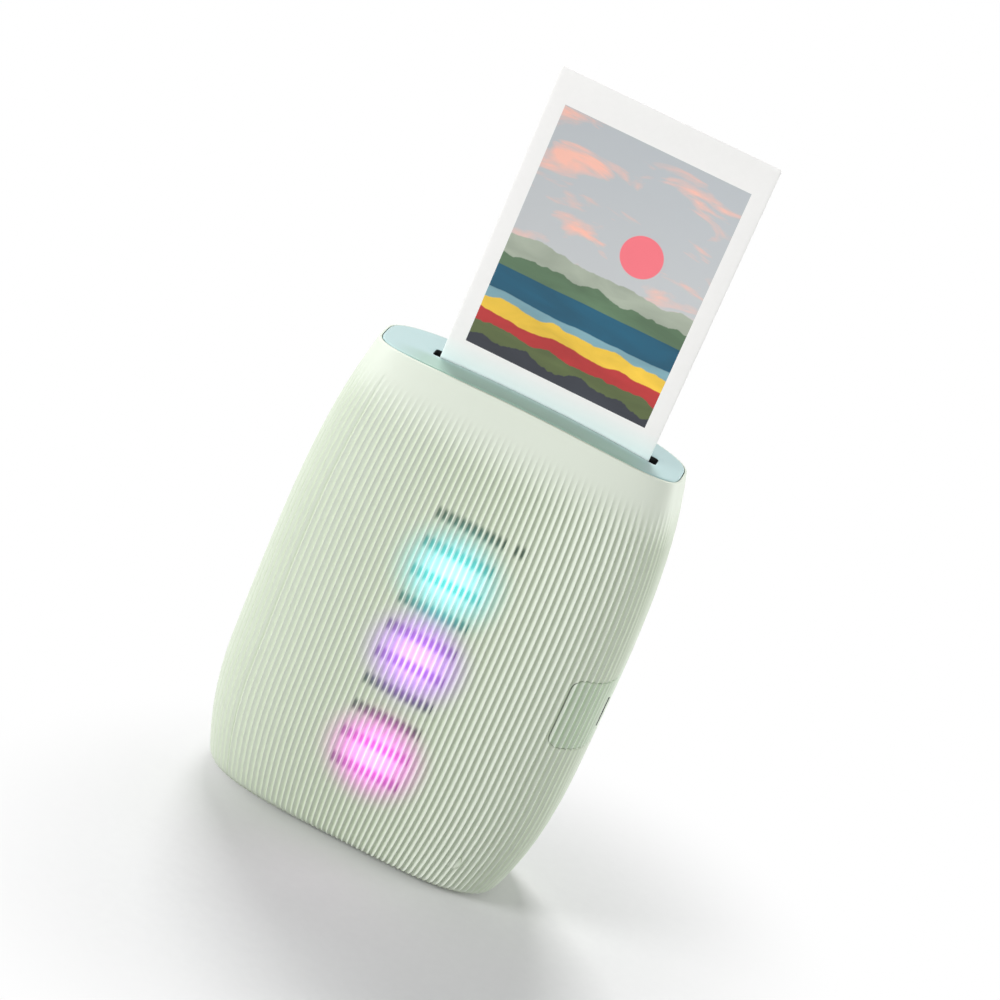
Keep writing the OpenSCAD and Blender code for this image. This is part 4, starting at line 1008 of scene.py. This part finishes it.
class PRINTER_OT_springs(bpy.types.Operator):
    """Builds the return springs of the claw and the latch from their CAD coils"""

    bl_idname = "printer.springs"
    bl_label = "Build Return Springs"

    # name, node, body, joint, the fixed end (0 low, 1 high) and the slide's travel in metres
    springs = (
        ("claw_return_spring", "claw_spring", "housing", "pick_claw_slide", 1, 0.004),
        ("latch_return_spring", "latch_spring", "door", "door_latch_slide", 0, 0.0025),
    )

    def execute(self, context):
        # hard-drawn spring wire, bright with fine drawing lines
        wire = moulded("spring_wire_drawn", linear("b9bcc0"), 0.28, 0.12, 0.004, 0.08, 1.0)
        for name, node, body, joint, fixed, travel in self.springs:
            coil = bmesh.new()
            coil.from_mesh(frame["nodes"][node].data)
            bmesh.ops.remove_doubles(coil, verts=coil.verts, dist=0.001 * MM)
            piece = make_object(name, coil)
            dress(piece, wire, body, [node])
            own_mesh(piece)
        return {"FINISHED"}


class PRINTER_OT_finishes(bpy.types.Operator):
    """Gives every carried-over piece of the model its real finish"""

    bl_idname = "printer.finishes"
    bl_label = "Finish Fittings"

    # share of the crests' colour on the base cover, which has no ribs
    cover_tone = 0.8

    def execute(self, context):
        colours = context.scene.printer_colours
        made = {
            # satin ABS of the base cover, the same as the shells
            "ribbed_plastic": shell_plastic("base_sage", colours.shell, colours.shell_flute_shade),
            "cap_plastic": moulded("cap_plain", colours.cap, 0.38, 0.35, 0.01),
            "button_plastic": moulded("button_plain", colours.button, 0.45, 0.35, 0.012),
            # matt black guide and film pack, with a coarse spark-eroded grain
            "black_plastic": moulded("guide_black", linear("16191a"), 0.55, 0.3, 0.03, 0.2),
            # dark grey glass-filled frame, faintly mottled
            "frame_plastic": moulded("frame_grey", linear("3a4042"), 0.5, 0.5, 0.03, 0.15),
            # milky acetal gears with a waxy gloss
            "gear_plastic": moulded("gear_acetal", linear("ece7d8"), 0.3, 0.8, 0.01),
            # pale latch and claw
            "pale_plastic": moulded("latch_pale", linear("dfe6d8"), 0.42, 0.4, 0.012),
            # open-cell foam strips
            "foam": moulded("seal_foam", linear("1d2222"), 0.95, 0.7, 0.25, 0.3),
            # soft grey-green foot
            "foot_rubber": moulded("foot_rubber", linear("8e9688"), 0.8, 0.4, 0.05, 0.1),
            # brushed steel, its lines along x
            "steel": moulded("steel_brushed", linear("b9bcc0"), 0.28, 0.12, 0.004, 0.08, 1.0, (0.06, 1, 1)),
            # ground rubber sleeve
            "roller_rubber": moulded("roller_rubber", linear("33383a"), 0.75, 0.25, 0.03, 0.12),
            # turned brass
            "brass": moulded("pinion_brass", linear("c9a25a"), 0.3, 0.2, 0.004, 0.08, 1.0),
            # green solder mask over copper
            "circuit_board": moulded("board_green", linear("1f6244"), 0.35, 1.6, 0.02, 0.25),
            # white aluminium light board
            "light_board": moulded("board_white", linear("e8ece6"), 0.4, 0.9, 0.01),
            # shrink-wrapped cell
            "cell_wrap": moulded("cell_wrap", linear("3f74a8"), 0.35, 2.5, 0.05, 0.08),
            # clear lens, opal diffuser and smoked window
            "light_lens": clear_plastic("lens_clear", linear("f4f1ff"), 0.1, 0.6),
            "diffuser": clear_plastic("diffuser_opal", linear("f2f5f0"), 0.6, 0.35),
            "dark_window": clear_plastic("window_smoke", linear("20302c"), 0.08, 0.55),
            # white coated sheet
            "print_sheet": moulded("sheet_white", colours.paper, 0.4, 1.1, 0.008, 0.02),
        }
        slots = {part["node"]: part["material_slot"] for part in frame["record"]["subparts"]}
        for name, obj in frame["nodes"].items():
            material = made[slots[name]]
            if not obj.data.materials:
                obj.data.materials.append(material)
            for place in obj.material_slots:
                place.material = material
        cover = frame["nodes"]["base_cover"].data
        attribute = cover.attributes.new("rib", "FLOAT", "POINT")
        attribute.data.foreach_set("value", [self.cover_tone] * len(cover.vertices))
        return {"FINISHED"}


def seen(node):
    """1 for what the eye sees at once, in a reflection or through something clear, and 0 for other light."""
    path = node("LightPath").outputs
    return chain(node, "Math", LARGEST, [path[f"Is {kind} Ray"] for kind in ("Camera", "Glossy", "Transmission")])


class PRINTER_OT_stage(bpy.types.Operator):
    """Sets the pale floor, the soft lamps, the white surroundings and the camera"""

    bl_idname = "printer.stage"
    bl_label = "Set Stage"

    # name, place in metres, size in metres, brightness that it gives a white surface facing it
    lamps = (
        ("lamp_left", (-0.95, -0.60, 0.36), 0.40, 0.73),
        ("lamp_top", (-0.24, 0.42, 0.98), 0.30, 0.62),
        ("lamp_right", (0.94, 0.24, 0.20), 0.50, 0.72),
        ("lamp_front", (0.30, -1.20, 0.35), 0.60, 0.22),
    )
    # point that the lamps face
    aim = Vector((0.003, 0, 0.09))
    # the camera's place, and the image's right, its down and the line of sight
    eye = (0.0750434, -0.6968383, 0.4368283)
    right, down = Vector((0.891819, 0.271443, 0.361908)), Vector((0.442451, -0.356561, -0.822862))
    ahead = Vector((-0.094318, 0.893970, -0.438088))

    def execute(self, context):
        scene = context.scene
        scene.view_settings.view_transform = "Standard"
        bm = bmesh.new()
        bmesh.ops.create_grid(bm, x_segments=1, y_segments=1, size=4.0)
        bmesh.ops.translate(bm, verts=bm.verts, vec=mm(0, 0, -0.2))
        floor = make_object("floor", bm)
        floor.data.materials.append(self.floor_finish())
        scene.world = self.surroundings()
        for name, place, size, brightness in self.lamps:
            lamp = bpy.data.lights.new(name, "AREA")
            lamp.shape = "SQUARE"
            lamp.size = size
            way = self.aim - Vector(place)
            lamp.energy = brightness * math.pi**2 * way.length_squared
            made = bpy.data.objects.new(name, lamp)
            made.location = place
            made.rotation_euler = way.to_track_quat("-Z", "Y").to_euler()
            scene.collection.objects.link(made)
        view = bpy.data.cameras.new("camera")
        view.sensor_width = 36
        view.lens = 118.8
        view.clip_start, view.clip_end = 0.05, 20
        camera = bpy.data.objects.new("camera", view)
        turn = Matrix((self.right, -self.down, -self.ahead)).transposed()
        camera.matrix_world = Matrix.Translation(self.eye) @ turn.to_4x4()
        scene.collection.objects.link(camera)
        scene.camera = camera
        return {"FINISHED"}

    @staticmethod
    def floor_finish():
        """White matt table that keeps the shadow near the object and runs out into plain white."""
        material, node, place = node_material("floor_white")
        paper = node("TexNoise", {"Scale": 400.0, "Detail": 2.0}, {"Vector": place})
        tone = node("Mix", {**COLOURS, 6: (0.74, 0.74, 0.74, 1), 7: (0.77, 0.77, 0.77, 1)}, {"Factor": paper})
        eye = seen(node)
        shade = node("Mix", {**COLOURS, 6: (0.5, 0.5, 0.5, 1)}, {"Factor": eye, 7: tone})
        matt = node("BsdfDiffuse", links={"Color": shade})
        white = node("Emission", {"Strength": 1.0})
        # the plain white starts outside an oval that is turned with the shadow
        away = node("VectorMath", {**LESS, 1: (0.02, -0.03, 0)}, {0: place})
        turned = node("VectorRotate", {"rotation_type": "Z_AXIS", "Angle": math.radians(-44)}, {"Vector": away})
        reach = node("VectorMath", LENGTH, {0: node("VectorMath", {**TIMES, 1: (1, 1.5, 0)}, {0: turned})})
        far = node("MapRange", {**SMOOTH, "From Min": 0.05, "From Max": 0.13}, {"Value": reach})
        out = node("Math", TIMES, {0: far, 1: eye})
        node("OutputMaterial", links={"Surface": node("MixShader", links={0: out, 1: matt, 2: white})})
        return material

    @staticmethod
    def surroundings():
        """Soft even light, which looks plain white to the eye and in reflections."""
        world = bpy.data.worlds.new("studio")
        world.use_nodes = True
        world.node_tree.nodes.clear()
        node = partial(add_node, world.node_tree)
        soft = node("Background", {"Color": (0.97, 0.99, 1.0, 1), "Strength": 0.28})
        white = node("Background", {"Color": (1, 1, 1, 1), "Strength": 1.0})
        node("OutputWorld", links={"Surface": node("MixShader", links={0: seen(node), 1: soft, 2: white})})
        return world


class PRINTER_PT_panel(bpy.types.Panel):
    """Sizes, colours and steps of the printer"""

    bl_idname = "PRINTER_PT_panel"
    bl_label = "Photo Printer"
    bl_space_type = "VIEW_3D"
    bl_region_type = "UI"
    bl_category = "Printer"

    def draw(self, context):
        for group in (context.scene.printer_sizes, context.scene.printer_colours):
            column = self.layout.column()
            for name in group.__annotations__:
                column.prop(group, name)
        for step in STEPS:
            self.layout.operator(step.bl_idname)


STEPS = (
    PRINTER_OT_finishes,
    PRINTER_OT_shells,
    PRINTER_OT_covers,
    PRINTER_OT_cap,
    PRINTER_OT_print,
    PRINTER_OT_springs,
    PRINTER_OT_stage,
)
CLASSES = (PrinterSizes, PrinterColours, *STEPS, PRINTER_PT_panel)


def register():
    for cls in CLASSES:
        bpy.utils.register_class(cls)
    bpy.types.Scene.printer_sizes = PointerProperty(type=PrinterSizes)
    bpy.types.Scene.printer_colours = PointerProperty(type=PrinterColours)


def unregister():
    del bpy.types.Scene.printer_colours
    del bpy.types.Scene.printer_sizes
    for cls in reversed(CLASSES):
        bpy.utils.unregister_class(cls)


def main():
    """Registers the add-on and takes its steps in order."""
    register()
    bpy.ops.printer.finishes()
    bpy.ops.printer.shells()
    bpy.ops.printer.covers()
    bpy.ops.printer.cap()
    bpy.ops.printer.sheet()
    bpy.ops.printer.springs()
    bpy.ops.printer.stage()


if __name__ == "__main__":
    main()
